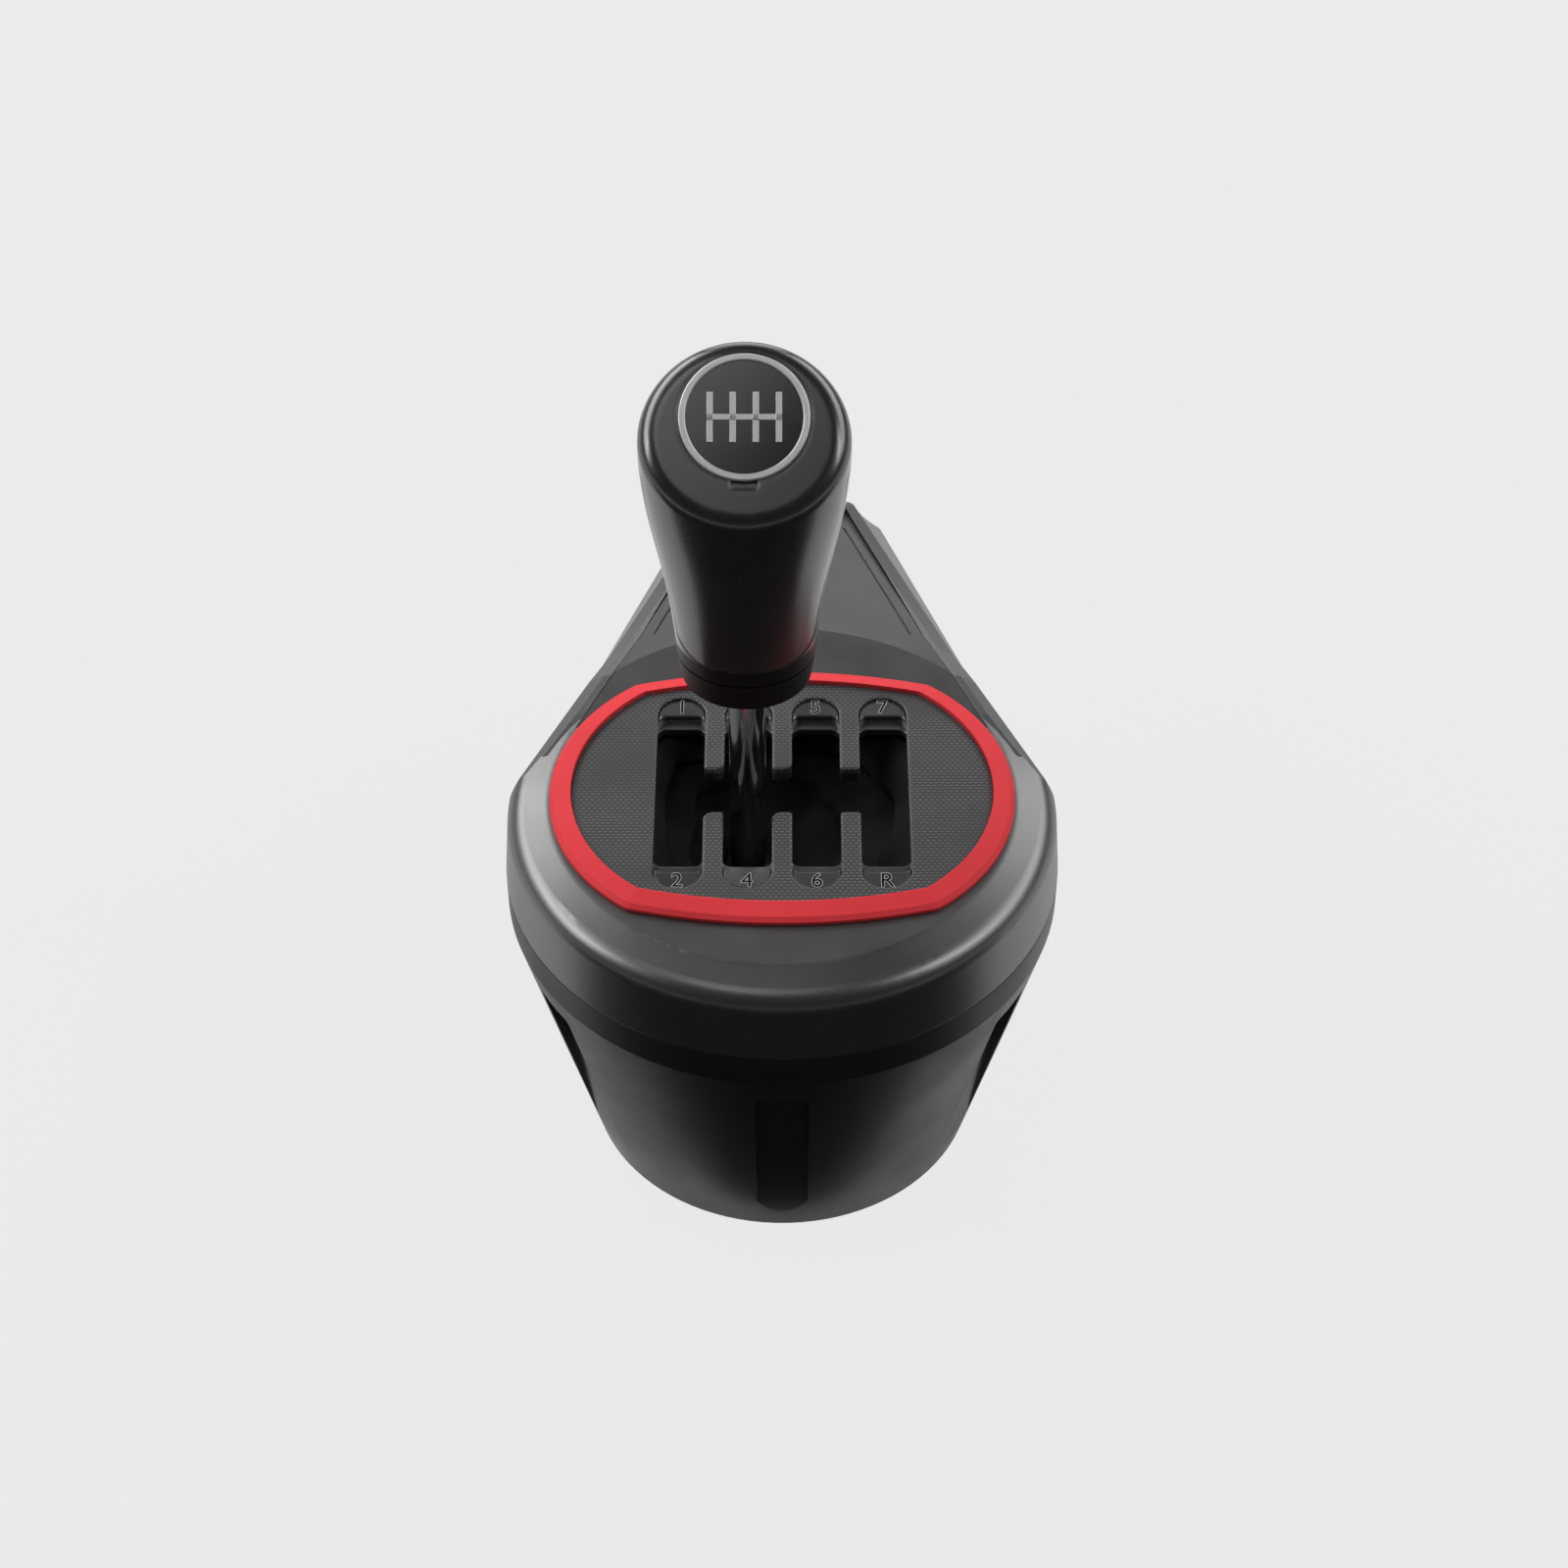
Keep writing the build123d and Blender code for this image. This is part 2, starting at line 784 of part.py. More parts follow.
# Lower housing: a tapered bucket with three scoops, a flat back and the tail's shallow tray
lower_shell = lower_body(0)
with BuildPart() as lower_housing:
    add(lower_shell)
    add(lower_body(wall), mode=Mode.SUBTRACT)
    add(scoop_body(wall, wall))
    add(lower_shell, mode=Mode.INTERSECT)
    with BuildSketch(Plane.XY.offset(plate_top_z)):
        for x, y in base_screw_places:
            with Locations(Location((x, y, 0), (0, 0, math.degrees(math.atan2(y, x))))):
                Circle(base_boss_radius)
                with Locations((base_boss_radius, 0)):
                    Rectangle(2 * base_boss_radius, 2 * base_boss_radius)
    extrude(amount=base_boss_height)
    with BuildSketch(Plane.XY.offset(housing_seat_z)):
        with Locations(*bucket_boss_places):
            Circle(housing_boss_radius)
    extrude(amount=housing_screw_seat)
    with BuildSketch(Plane.XY.offset(tail_under_z)):
        with Locations(*tail_boss_places):
            Circle(housing_boss_radius + running_gap)
    extrude(amount=seam_z - tail_under_z)
    add(scoop_body(0, scoop_depth + wall), mode=Mode.SUBTRACT)
    with BuildSketch(Plane.XY.offset(plate_top_z)):
        with Locations(*base_screw_places):
            Circle(screw_radius + running_gap)
    extrude(amount=base_screw_depth, mode=Mode.SUBTRACT)
    with BuildSketch(Plane.XY.offset(tail_under_z)):
        with Locations(*housing_screw_places):
            Circle(screw_radius + running_gap)
        with Locations((0, spindle_y)):
            Circle(clamp_bush_radius + running_gap)
    extrude(amount=seam_z - tail_under_z, mode=Mode.SUBTRACT)
    with BuildSketch(Plane.XY.offset(tail_under_z)):
        with Locations(*tail_boss_places):
            Circle(recess_radius)
    extrude(amount=housing_seat_z - tail_under_z, mode=Mode.SUBTRACT)
    with BuildSketch(Plane.XZ.offset(-back_flat_y)):
        with Locations(*[(0, z) for z in rail_screw_levels]):
            Circle(screw_radius + running_gap)
    extrude(amount=wall, mode=Mode.SUBTRACT)
    with BuildSketch(Plane.XZ.offset(-seam_rear_y)):
        with Locations((0, seam_z)):
            Circle(socket_radius + running_gap)
    extrude(amount=socket_length, mode=Mode.SUBTRACT)
lower_housing.part.label = "lower_housing"
export_step(lower_housing.part, "parts/lower_housing.step")

# Upper housing: round shoulder, flat deck with the gate's opening, and the tail with its panel seat
upper_shell = upper_body(0)
with BuildPart() as upper_housing:
    add(upper_shell)
    add(upper_body(wall), mode=Mode.SUBTRACT)
    add(panel_body(wall, wall, 0, wall))
    with BuildSketch(Plane.XY.offset(seam_z)):
        with Locations(*housing_screw_places):
            Circle(housing_boss_radius)
    extrude(amount=housing_boss_rise)
    add(upper_shell, mode=Mode.INTERSECT)
    add(panel_body(trim_gap, 0, deck_drop, 0), mode=Mode.SUBTRACT)
    with BuildSketch(Plane.XY.offset(ledge_z)):
        add(gate_outline(insert_margin + trim_gap, ring_inner_corner))
    extrude(amount=-wall, mode=Mode.SUBTRACT)
    with BuildSketch(Plane.XY.offset(seam_z)):
        with Locations(*housing_screw_places):
            Circle(screw_radius + running_gap)
    extrude(amount=housing_screw_length - housing_screw_seat + trim_gap, mode=Mode.SUBTRACT)
    with BuildSketch(Plane.XY.offset(frame_high_z)):
        with Locations(*frame_ear_places):
            Circle(screw_radius + running_gap)
    extrude(amount=frame_screw_length - frame_thickness + trim_gap, mode=Mode.SUBTRACT)
    with BuildSketch(Plane.XZ.offset(-seam_rear_y)):
        with Locations((0, seam_z)):
            Circle(socket_radius + running_gap)
    extrude(amount=socket_length, mode=Mode.SUBTRACT)
upper_housing.part.label = "upper_housing"
export_step(upper_housing.part, "parts/upper_housing.step")

# Screws that pull the lower housing up to the upper one
with BuildPart() as housing_screws:
    for x, y in housing_screw_places:
        add(screw(Plane(origin=(x, y, housing_seat_z)), housing_screw_length))
housing_screws.part.label = "housing_screws"
export_step(housing_screws.part, "parts/housing_screws.step")

# Tail panel, set into the tail, with a fine groove along each side
with BuildPart() as tail_panel:
    add(panel_body(0, trim_gap, 0, 0))
    rear = panel_rear_y - groove_rear_inset
    rear_half = panel_rear_half - groove_inset + groove_rear_inset * (
        (panel_middle_half - panel_rear_half) / (panel_rear_y - panel_middle_y)
    )
    groove_rows = [(panel_middle_half - groove_inset, panel_middle_y), (rear_half, rear)]
    with BuildSketch(Plane.XY.offset(ledge_z)):
        for side in (-1, 1):
            (x0, y0), (x1, y1) = groove_rows
            with BuildLine():
                Polyline(
                    (side * x0, y0),
                    (side * (x0 - groove_width), y0),
                    (side * (x1 - groove_width), y1),
                    (side * x1, y1),
                    close=True,
                )
            make_face()
    extrude(amount=-panel_rear_drop - panel_thickness, mode=Mode.SUBTRACT)
    add(panel_body(-trim_gap, trim_gap, -groove_depth, 0))
tail_panel.part.label = "tail_panel"
export_step(tail_panel.part, "parts/tail_panel.step")

# Trim ring round the gate: low outer wall, bevel, then a slope up to its inner edge
with BuildPart() as trim_ring:
    wall_z = ledge_z + ring_wall_height
    bevel_z = wall_z + ring_bevel_height
    with BuildSketch(Plane.XY.offset(ledge_z)):
        add(ring_outline(ring_width))
    extrude(amount=ring_wall_height)
    with BuildSketch(Plane.XY.offset(wall_z)):
        add(ring_outline(ring_width))
    with BuildSketch(Plane.XY.offset(bevel_z)):
        add(ring_outline(ring_width - ring_bevel_width))
    loft(ruled=True)
    with BuildSketch(Plane.XY.offset(bevel_z)):
        add(ring_outline(ring_width - ring_bevel_width))
    with BuildSketch(Plane.XY.offset(ledge_z + ring_height)):
        add(ring_outline(ring_lip))
    loft(ruled=True)
    with BuildSketch(Plane.XY.offset(ledge_z)):
        add(ring_outline(0))
    extrude(amount=ring_height, mode=Mode.SUBTRACT)
trim_ring.part.label = "trim_ring"
export_step(trim_ring.part, "parts/trim_ring.step")

# Gate cover: a thin plate with the H pattern, its slot edges bevelled
with BuildPart() as gate_plate:
    with BuildSketch(Plane.XY.offset(cover_low_z)):
        add(gate_outline(-trim_gap, ring_inner_corner))
        add(gate_slots(column_end_y, 0, True), mode=Mode.SUBTRACT)
    extrude(amount=cover_thickness)
    top_face = gate_plate.faces().sort_by(Axis.Z)[-1]
    slot_edges = [edge for wire in top_face.inner_wires() for edge in wire.edges()]
    chamfer(slot_edges, cover_edge, cover_edge_depth, reference=top_face)
gate_plate.part.label = "gate_plate"
export_step(gate_plate.part, "parts/gate_plate.step")

# Gate insert under the cover: its slab sits in the deck, and pads with a hollowed edge fill the
# columns' ends, above a step round each opening
with BuildPart() as gate_insert:
    with BuildSketch(Plane.XY.offset(slab_low_z)):
        add(gate_outline(insert_margin, ring_inner_corner))
    extrude(amount=ledge_z - slab_low_z)
    with BuildSketch(Plane.XY.offset(ledge_z)):
        add(gate_outline(-trim_gap, ring_inner_corner))
    extrude(amount=cover_low_z - ledge_z)
    with BuildSketch(Plane.XY.offset(cover_low_z)):
        add(gate_slots(column_end_y, trim_gap, True))
        Rectangle(2 * seam_radius, 2 * (pad_start_y - pad_corner), mode=Mode.SUBTRACT)
    extrude(amount=gate_top_z - pad_drop - cover_low_z)
    with BuildSketch(Plane.XY.offset(gate_top_z - step_drop)):
        with Locations(*[(x, 0) for x in columns]):
            RectangleRounded(column_width, 2 * pad_start_y, pad_corner)
    extrude(amount=step_drop, mode=Mode.SUBTRACT)
    chamfer(gate_insert.faces().group_by(Axis.Z)[-1].edges(), pad_edge)
    with BuildSketch(Plane.XY.offset(slab_low_z)):
        add(gate_slots(column_open_y, 0, False))
    extrude(amount=gate_top_z - slab_low_z, mode=Mode.SUBTRACT)
gate_insert.part.label = "gate_insert"
export_step(gate_insert.part, "parts/gate_insert.step")

# Gate frame: a steel window plate under the deck, with an ear at each corner
with BuildPart() as gate_frame:
    with BuildSketch(Plane.XY.offset(frame_low_z)):
        add(gate_outline(frame_margin, ring_corner))
        with Locations(*frame_ear_places):
            Circle(frame_ear_radius)
        RectangleRounded(2 * window_half_x, 2 * window_half_y, window_corner, mode=Mode.SUBTRACT)
        with Locations(*frame_ear_places):
            Circle(screw_radius + running_gap, mode=Mode.SUBTRACT)
    extrude(amount=frame_thickness)
gate_frame.part.label = "gate_frame"
export_step(gate_frame.part, "parts/gate_frame.step")

# Screws through the gate frame's ears into the deck
with BuildPart() as gate_screws:
    for x, y in frame_ear_places:
        add(screw(Plane(origin=(x, y, frame_low_z)), frame_screw_length))
gate_screws.part.label = "gate_screws"
export_step(gate_screws.part, "parts/gate_screws.step")

# Boot: thin cloth funnel with three ring folds, drawn in from the frame to the lever
boot_top_z = frame_low_z - soft_gap
with BuildPart() as boot:
    rows = list(
        zip(boot_heights, boot_half_widths, boot_half_depths, boot_corners, boot_shift_shares)
    )
    for thinner, mode in ((0, Mode.ADD), (boot_wall, Mode.SUBTRACT)):
        for upper, lower in zip(rows, rows[1:]):
            for depth, a, b, corner, share in (upper, lower):
                with BuildSketch(Plane(origin=(share * lever_x, 0, boot_top_z - depth))):
                    RectangleRounded(
                        2 * (a - thinner), 2 * (b - thinner), corner - thinner
                    )
            loft(ruled=True, mode=mode)
boot.part.label = "boot"
export_step(boot.part, "parts/boot.step")

# Boot retainer: a flat ring glued under the gate frame round the boot's upper edge
with BuildPart() as boot_retainer:
    with BuildSketch(Plane.XY.offset(frame_low_z - retainer_height)):
        inner_x = boot_half_widths[0] + soft_gap
        inner_y = boot_half_depths[0] + soft_gap
        RectangleRounded(
            2 * (inner_x + retainer_width),
            2 * (inner_y + retainer_width),
            boot_corners[0] + retainer_width,
        )
        RectangleRounded(2 * inner_x, 2 * inner_y, boot_corners[0], mode=Mode.SUBTRACT)
    extrude(amount=retainer_height)
boot_retainer.part.label = "boot_retainer"
export_step(boot_retainer.part, "parts/boot_retainer.step")

# Boot collar: a ring on the rod that carries the boot's neck
with BuildPart() as boot_collar:
    with BuildSketch(Plane(origin=(lever_x, 0, boot_collar_z))):
        Circle(boot_collar_radius)
        Circle(rod_radius + running_gap, mode=Mode.SUBTRACT)
    extrude(amount=boot_collar_height)
boot_collar.part.label = "boot_collar"
export_step(boot_collar.part, "parts/boot_collar.step")

# Base plate: closes the bucket and carries the chassis, with four tapped mounting holes
with BuildPart() as base_plate:
    with BuildSketch(Plane.XY.offset(base_z)):
        Circle(cone_radius(base_z) - wall - trim_gap)
        with Locations(*mount_places):
            Circle(mount_hole_radius, mode=Mode.SUBTRACT)
        with Locations(*base_screw_places, *chassis_screw_places):
            Circle(screw_radius + running_gap, mode=Mode.SUBTRACT)
    extrude(amount=base_plate_thickness)
    with BuildSketch(Plane.XY.offset(base_z)):
        with Locations(*base_screw_places, *chassis_screw_places):
            Circle(screw_head_radius + trim_gap)
    extrude(amount=screw_head_height, mode=Mode.SUBTRACT)
base_plate.part.label = "base_plate"
export_step(base_plate.part, "parts/base_plate.step")

# Rubber foot: a flat disc, with a hole over each screw and mounting hole
with BuildPart() as rubber_foot:
    with BuildSketch():
        Circle(foot_radius)
        with Locations(*base_screw_places, *chassis_screw_places, *mount_places):
            Circle(recess_radius, mode=Mode.SUBTRACT)
    extrude(amount=foot_height)
rubber_foot.part.label = "rubber_foot"
export_step(rubber_foot.part, "parts/rubber_foot.step")

# Screws that hold the base plate to the bucket
with BuildPart() as base_screws:
    for x, y in base_screw_places:
        add(screw(Plane(origin=(x, y, base_z + screw_head_height)), base_screw_length))
base_screws.part.label = "base_screws"
export_step(base_screws.part, "parts/base_screws.step")

# Chassis: floor plate with two gimbal uprights, two spring posts and the board's standoffs
board_post_length = board_front_y - upright_outer_y
with BuildPart() as chassis:
    with BuildSketch(Plane(origin=(lever_x, 0, plate_top_z))):
        RectangleRounded(2 * chassis_half_x, 2 * chassis_half_y, chassis_corner)
    extrude(amount=chassis_thickness)
    for side in (-1, 1):
        low = min(side * upright_inner_y, side * upright_outer_y)
        with BuildSketch(Plane.XZ.offset(-low)) as upright:
            with BuildLine():
                Polyline(
                    (lever_x - upright_half_x, plate_top_z),
                    (lever_x + upright_half_x, plate_top_z),
                    (lever_x + upright_half_x, pivot_z + upright_rise),
                    (lever_x - upright_half_x, pivot_z + upright_rise),
                    close=True,
                )
            make_face()
            fillet(upright.vertices().group_by(Axis.Y)[-1], upright_corner)
            with Locations((lever_x, pivot_z)):
                Circle(bush_radius + running_gap, mode=Mode.SUBTRACT)
        extrude(amount=-(upright_outer_y - upright_inner_y))
        with BuildSketch(Plane.XY.offset(plate_top_z)):
            with Locations(
                (
                    lever_x + side * (post_inner_x + post_outer_x) / 2,
                    -(post_inner_y + chassis_half_y) / 2,
                )
            ):
                Rectangle(post_outer_x - post_inner_x, chassis_half_y - post_inner_y)
        extrude(amount=chassis_thickness + post_rise)
        peg_plane = Plane(
            origin=(
                lever_x + side * post_inner_x,
                -(arm_inner_y + arm_outer_y) / 2,
                pivot_z - arm_drop,
            ),
            z_dir=(-side, 0, 0),
        )
        with BuildSketch(peg_plane):
            Circle(spring_peg_radius)
        extrude(amount=spring_peg_length)
    with BuildSketch(Plane.XZ.offset(-upright_outer_y)):
        with Locations(*[(lever_x + x, board_centre_z + z) for x, z in board_places]):
            Circle(board_post_radius)
    extrude(amount=-board_post_length)
    with BuildSketch(Plane.XZ.offset(-board_front_y)):
        with Locations(*[(lever_x + x, board_centre_z + z) for x, z in board_places]):
            Circle(screw_radius + running_gap)
    extrude(amount=board_screw_length - board_thickness + trim_gap, mode=Mode.SUBTRACT)
    with BuildSketch(Plane(origin=(lever_x, 0, chassis_top_z))):
        with BuildLine():
            Polyline(
                (-pedestal_half_x, -cam_half_y),
                (pedestal_half_x, -cam_half_y),
                (pedestal_half_x, cam_half_y),
                (-pedestal_half_x, cam_half_y),
                close=True,
            )
        make_face()
    extrude(amount=pedestal_high_z - chassis_top_z)
    with BuildSketch(Plane(origin=(lever_x, -cam_half_y, pivot_z), z_dir=(0, 1, 0))):
        Circle(cam_radius + running_gap)
    extrude(amount=2 * cam_half_y, mode=Mode.SUBTRACT)
    with BuildSketch(Plane.XY.offset(plate_top_z)):
        with Locations(*chassis_screw_places):
            Circle(screw_radius + running_gap)
        with Locations(*[(x, y) for x, y in mount_places if x < lever_x]):
            Circle(mount_clear_radius)
    extrude(amount=chassis_thickness, mode=Mode.SUBTRACT)
chassis.part.label = "chassis"
export_step(chassis.part, "parts/chassis.step")

# Screws that hold the chassis to the base plate
with BuildPart() as chassis_screws:
    for x, y in chassis_screw_places:
        add(screw(Plane(origin=(x, y, base_z + screw_head_height)), chassis_screw_length))
chassis_screws.part.label = "chassis_screws"
export_step(chassis_screws.part, "parts/chassis_screws.step")

# Detent cam: a trough about the lever's side-to-side axis, with a hump each side of neutral
cam_profile = [
    (0, plunger_tip + cam_centre_gap),
    (cam_hump_y, plunger_tip + cam_hump_gap),
    (cam_notch_y, plunger_tip + cam_notch_gap),
    (cam_stop_y, plunger_tip - cam_stop_rise),
    (cam_half_y, plunger_tip - cam_edge_rise),
]
cam_start = math.radians(cam_right_angle)
with BuildPart() as detent_cam:
    cam_plane = Plane(
        origin=(lever_x, 0, pivot_z),
        x_dir=(0, 1, 0),
        z_dir=(math.cos(cam_start), 0, math.sin(cam_start)),
    )
    with BuildSketch(cam_plane):
        with BuildLine():
            Polyline(
                *[(y, -r) for y, r in cam_profile],
                (cam_half_y, -cam_radius),
                (-cam_half_y, -cam_radius),
                *[(-y, -r) for y, r in reversed(cam_profile[1:])],
                close=True,
            )
        make_face()
    revolve(axis=Axis((lever_x, 0, pivot_z), (0, 1, 0)), revolution_arc=cam_left_angle + cam_right_angle)
detent_cam.part.label = "detent_cam"
export_step(detent_cam.part, "parts/detent_cam.step")

# Flanged bushes in the uprights
with BuildPart() as gimbal_bushes:
    for side in (-1, 1):
        inner = Plane(origin=(lever_x, side * upright_inner_y, pivot_z), z_dir=(0, side, 0))
        with BuildSketch(inner.offset(-bush_flange)):
            Circle(bush_flange_radius)
        extrude(amount=bush_flange)
        with BuildSketch(inner):
            Circle(bush_radius)
        extrude(amount=upright_outer_y - upright_inner_y)
        with BuildSketch(inner.offset(-bush_flange)):
            Circle(axle_radius + running_gap)
        extrude(amount=bush_flange + upright_outer_y - upright_inner_y, mode=Mode.SUBTRACT)
gimbal_bushes.part.label = "gimbal_bushes"
export_step(gimbal_bushes.part, "parts/gimbal_bushes.step")

# Gimbal yoke: a rectangular frame that tilts from side to side
with BuildPart() as gimbal_yoke:
    with BuildSketch(Plane(origin=(lever_x, 0, pivot_z - yoke_half_height))):
        RectangleRounded(2 * yoke_outer_x, 2 * yoke_outer_y, yoke_edge)
        RectangleRounded(2 * yoke_inner_x, 2 * yoke_inner_y, yoke_edge, mode=Mode.SUBTRACT)
    extrude(amount=2 * yoke_half_height)
    with BuildSketch(Plane(origin=(lever_x, yoke_outer_y, pivot_z), z_dir=(0, -1, 0))):
        Circle(axle_radius + running_gap)
    extrude(amount=2 * yoke_outer_y, mode=Mode.SUBTRACT)
    with BuildSketch(Plane(origin=(lever_x - yoke_outer_x, 0, pivot_z), z_dir=(1, 0, 0))):
        Circle(axle_bush_radius + running_gap)
    extrude(amount=2 * yoke_outer_x, mode=Mode.SUBTRACT)
gimbal_yoke.part.label = "gimbal_yoke"
export_step(gimbal_yoke.part, "parts/gimbal_yoke.step")

# Gimbal pins: front and rear journals pressed into the yoke
with BuildPart() as gimbal_pins:
    for side, end in ((-1, pin_front_y), (1, pin_rear_y)):
        with BuildSketch(Plane(origin=(lever_x, side * pin_inner_y, pivot_z), z_dir=(0, side, 0))):
            Circle(axle_radius)
        extrude(amount=end - pin_inner_y)
gimbal_pins.part.label = "gimbal_pins"
export_step(gimbal_pins.part, "parts/gimbal_pins.step")

# Centring arm: clamped on the front journal, it pushes on the springs
with BuildPart() as centring_arm:
    with BuildSketch(Plane.XZ.offset(arm_inner_y)):
        with Locations((lever_x, pivot_z)):
            Circle(arm_ring_radius)
        with Locations((lever_x, pivot_z - (arm_drop + arm_tip) / 2)):
            Rectangle(2 * arm_half_width, arm_drop + arm_tip)
        with Locations((lever_x, pivot_z)):
            Circle(axle_radius + running_gap, mode=Mode.SUBTRACT)
    extrude(amount=arm_outer_y - arm_inner_y)
    for side in (-1, 1):
        arm_side = Plane(
            origin=(
                lever_x + side * arm_half_width,
                -(arm_inner_y + arm_outer_y) / 2,
                pivot_z - arm_drop,
            ),
            z_dir=(side, 0, 0),
        )
        with BuildSketch(arm_side):
            Circle(spring_peg_radius)
        extrude(amount=spring_peg_length)
centring_arm.part.label = "centring_arm"
export_step(centring_arm.part, "parts/centring_arm.step")

# Centring springs, one each side of the arm
with BuildPart() as centring_springs:
    for side in (-1, 1):
        seat = (
            lever_x + side * arm_half_width,
            -(arm_inner_y + arm_outer_y) / 2,
            pivot_z - arm_drop,
        )
        add(
            coil(
                seat,
                (side, 0, 0),
                post_inner_x - arm_half_width,
                spring_radius,
                spring_wire_radius,
                spring_turns,
            )
        )
centring_springs.part.label = "centring_springs"
export_step(centring_springs.part, "parts/centring_springs.step")

# Magnet holder on the rear journal
magnet_seat = Plane(origin=(lever_x, magnet_holder_inner_y, pivot_z), z_dir=(0, 1, 0))
magnet_holder_length = pin_rear_y + magnet_length - magnet_holder_inner_y
with BuildPart() as magnet_holder:
    with BuildSketch(magnet_seat):
        Circle(magnet_holder_radius)
        Circle(magnet_radius + running_gap, mode=Mode.SUBTRACT)
    extrude(amount=magnet_holder_length)
magnet_holder.part.label = "magnet_holder"
export_step(magnet_holder.part, "parts/magnet_holder.step")

# Magnet that the board's angle sensor reads
with BuildPart() as tilt_magnet:
    with BuildSketch(Plane(origin=(lever_x, pin_rear_y, pivot_z), z_dir=(0, 1, 0))):
        Circle(magnet_radius)
    extrude(amount=magnet_length)
tilt_magnet.part.label = "tilt_magnet"
export_step(tilt_magnet.part, "parts/tilt_magnet.step")

# Circuit board on the rear upright's standoffs
with BuildPart() as circuit_board:
    with BuildSketch(Plane.XZ.offset(-board_front_y)):
        with Locations((lever_x, board_centre_z)):
            Rectangle(2 * board_half_x, 2 * board_half_z)
        with Locations(*[(lever_x + x, board_centre_z + z) for x, z in board_places]):
            Circle(screw_radius + running_gap, mode=Mode.SUBTRACT)
    extrude(amount=-board_thickness)
circuit_board.part.label = "circuit_board"
export_step(circuit_board.part, "parts/circuit_board.step")

# Angle sensor on the board, facing the magnet
with BuildPart() as angle_sensor:
    with BuildSketch(Plane.XZ.offset(-board_front_y)):
        with Locations((lever_x, pivot_z)):
            Rectangle(sensor_size, sensor_size)
    extrude(amount=sensor_thickness)
angle_sensor.part.label = "angle_sensor"
export_step(angle_sensor.part, "parts/angle_sensor.step")

# Wire connector on the board's rear face
with BuildPart() as board_connector:
    with BuildSketch(Plane.XZ.offset(-board_front_y - board_thickness)):
        with Locations((lever_x, connector_z)):
            Rectangle(connector_length, connector_height)
    extrude(amount=-connector_depth)
board_connector.part.label = "board_connector"
export_step(board_connector.part, "parts/board_connector.step")

# Screws that hold the board
with BuildPart() as board_screws:
    for x, z in board_places:
        seat_plane = Plane(
            origin=(lever_x + x, board_front_y + board_thickness, board_centre_z + z),
            z_dir=(0, -1, 0),
        )
        add(screw(seat_plane, board_screw_length))
board_screws.part.label = "board_screws"
export_step(board_screws.part, "parts/board_screws.step")

# Bushes for the fore-and-aft axle, with thrust flanges towards the hub
with BuildPart() as axle_bushes:
    for side in (-1, 1):
        hub_side = hub_half + soft_gap
        inner = Plane(origin=(lever_x + side * hub_side, 0, pivot_z), z_dir=(side, 0, 0))
        with BuildSketch(inner):
            Circle(axle_flange_radius)
        extrude(amount=yoke_inner_x - hub_side)
        with BuildSketch(inner):
            Circle(axle_bush_radius)
        extrude(amount=yoke_outer_x - hub_side)
        with BuildSketch(inner):
            Circle(axle_radius + running_gap)
        extrude(amount=yoke_outer_x - hub_side, mode=Mode.SUBTRACT)
axle_bushes.part.label = "axle_bushes"
export_step(axle_bushes.part, "parts/axle_bushes.step")

# Lever hub: a block on the axle, with the rod's socket above and the plunger's stub below
with BuildPart() as lever_hub:
    with BuildSketch(pivot.offset(-hub_low)):
        RectangleRounded(2 * hub_half, 2 * hub_half, hub_edge)
    extrude(amount=hub_low + hub_high)
    with BuildSketch(pivot.offset(-stub_low)):
        Circle(stub_radius)
    extrude(amount=stub_low - hub_low)
    with BuildSketch(pivot.offset(-stub_low)):
        Circle(plunger_radius + running_gap)
    extrude(amount=stub_low - plunger_bore_top, mode=Mode.SUBTRACT)
    with BuildSketch(pivot.offset(rod_foot)):
        Circle(rod_radius + running_gap)
    extrude(amount=hub_high - rod_foot, mode=Mode.SUBTRACT)
    with BuildSketch(Plane(origin=(lever_x - hub_half, 0, pivot_z), z_dir=(1, 0, 0))):
        Circle(axle_radius + running_gap)
    extrude(amount=2 * hub_half, mode=Mode.SUBTRACT)
    pin_plane = Plane(origin=(lever_x, -hub_half, pivot_z + rod_pin_height), z_dir=(0, 1, 0))
    with BuildSketch(pin_plane):
        Circle(rod_pin_radius + running_gap)
    extrude(amount=2 * hub_half, mode=Mode.SUBTRACT)
lever_hub.part.label = "lever_hub"
export_step(lever_hub.part, "parts/lever_hub.step")

# Fore-and-aft axle, fixed in the hub
axle_end = yoke_outer_x + soft_gap
with BuildPart() as fore_aft_axle:
    with BuildSketch(Plane(origin=(lever_x - axle_end, 0, pivot_z), z_dir=(1, 0, 0))):
        Circle(axle_radius)
    extrude(amount=2 * axle_end)
fore_aft_axle.part.label = "fore_aft_axle"
export_step(fore_aft_axle.part, "parts/fore_aft_axle.step")

# Magnet on the axle's end
with BuildPart() as lever_magnet:
    with BuildSketch(Plane(origin=(lever_x + axle_end, 0, pivot_z), z_dir=(1, 0, 0))):
        Circle(magnet_radius)
    extrude(amount=magnet_length)
lever_magnet.part.label = "lever_magnet"
export_step(lever_magnet.part, "parts/lever_magnet.step")

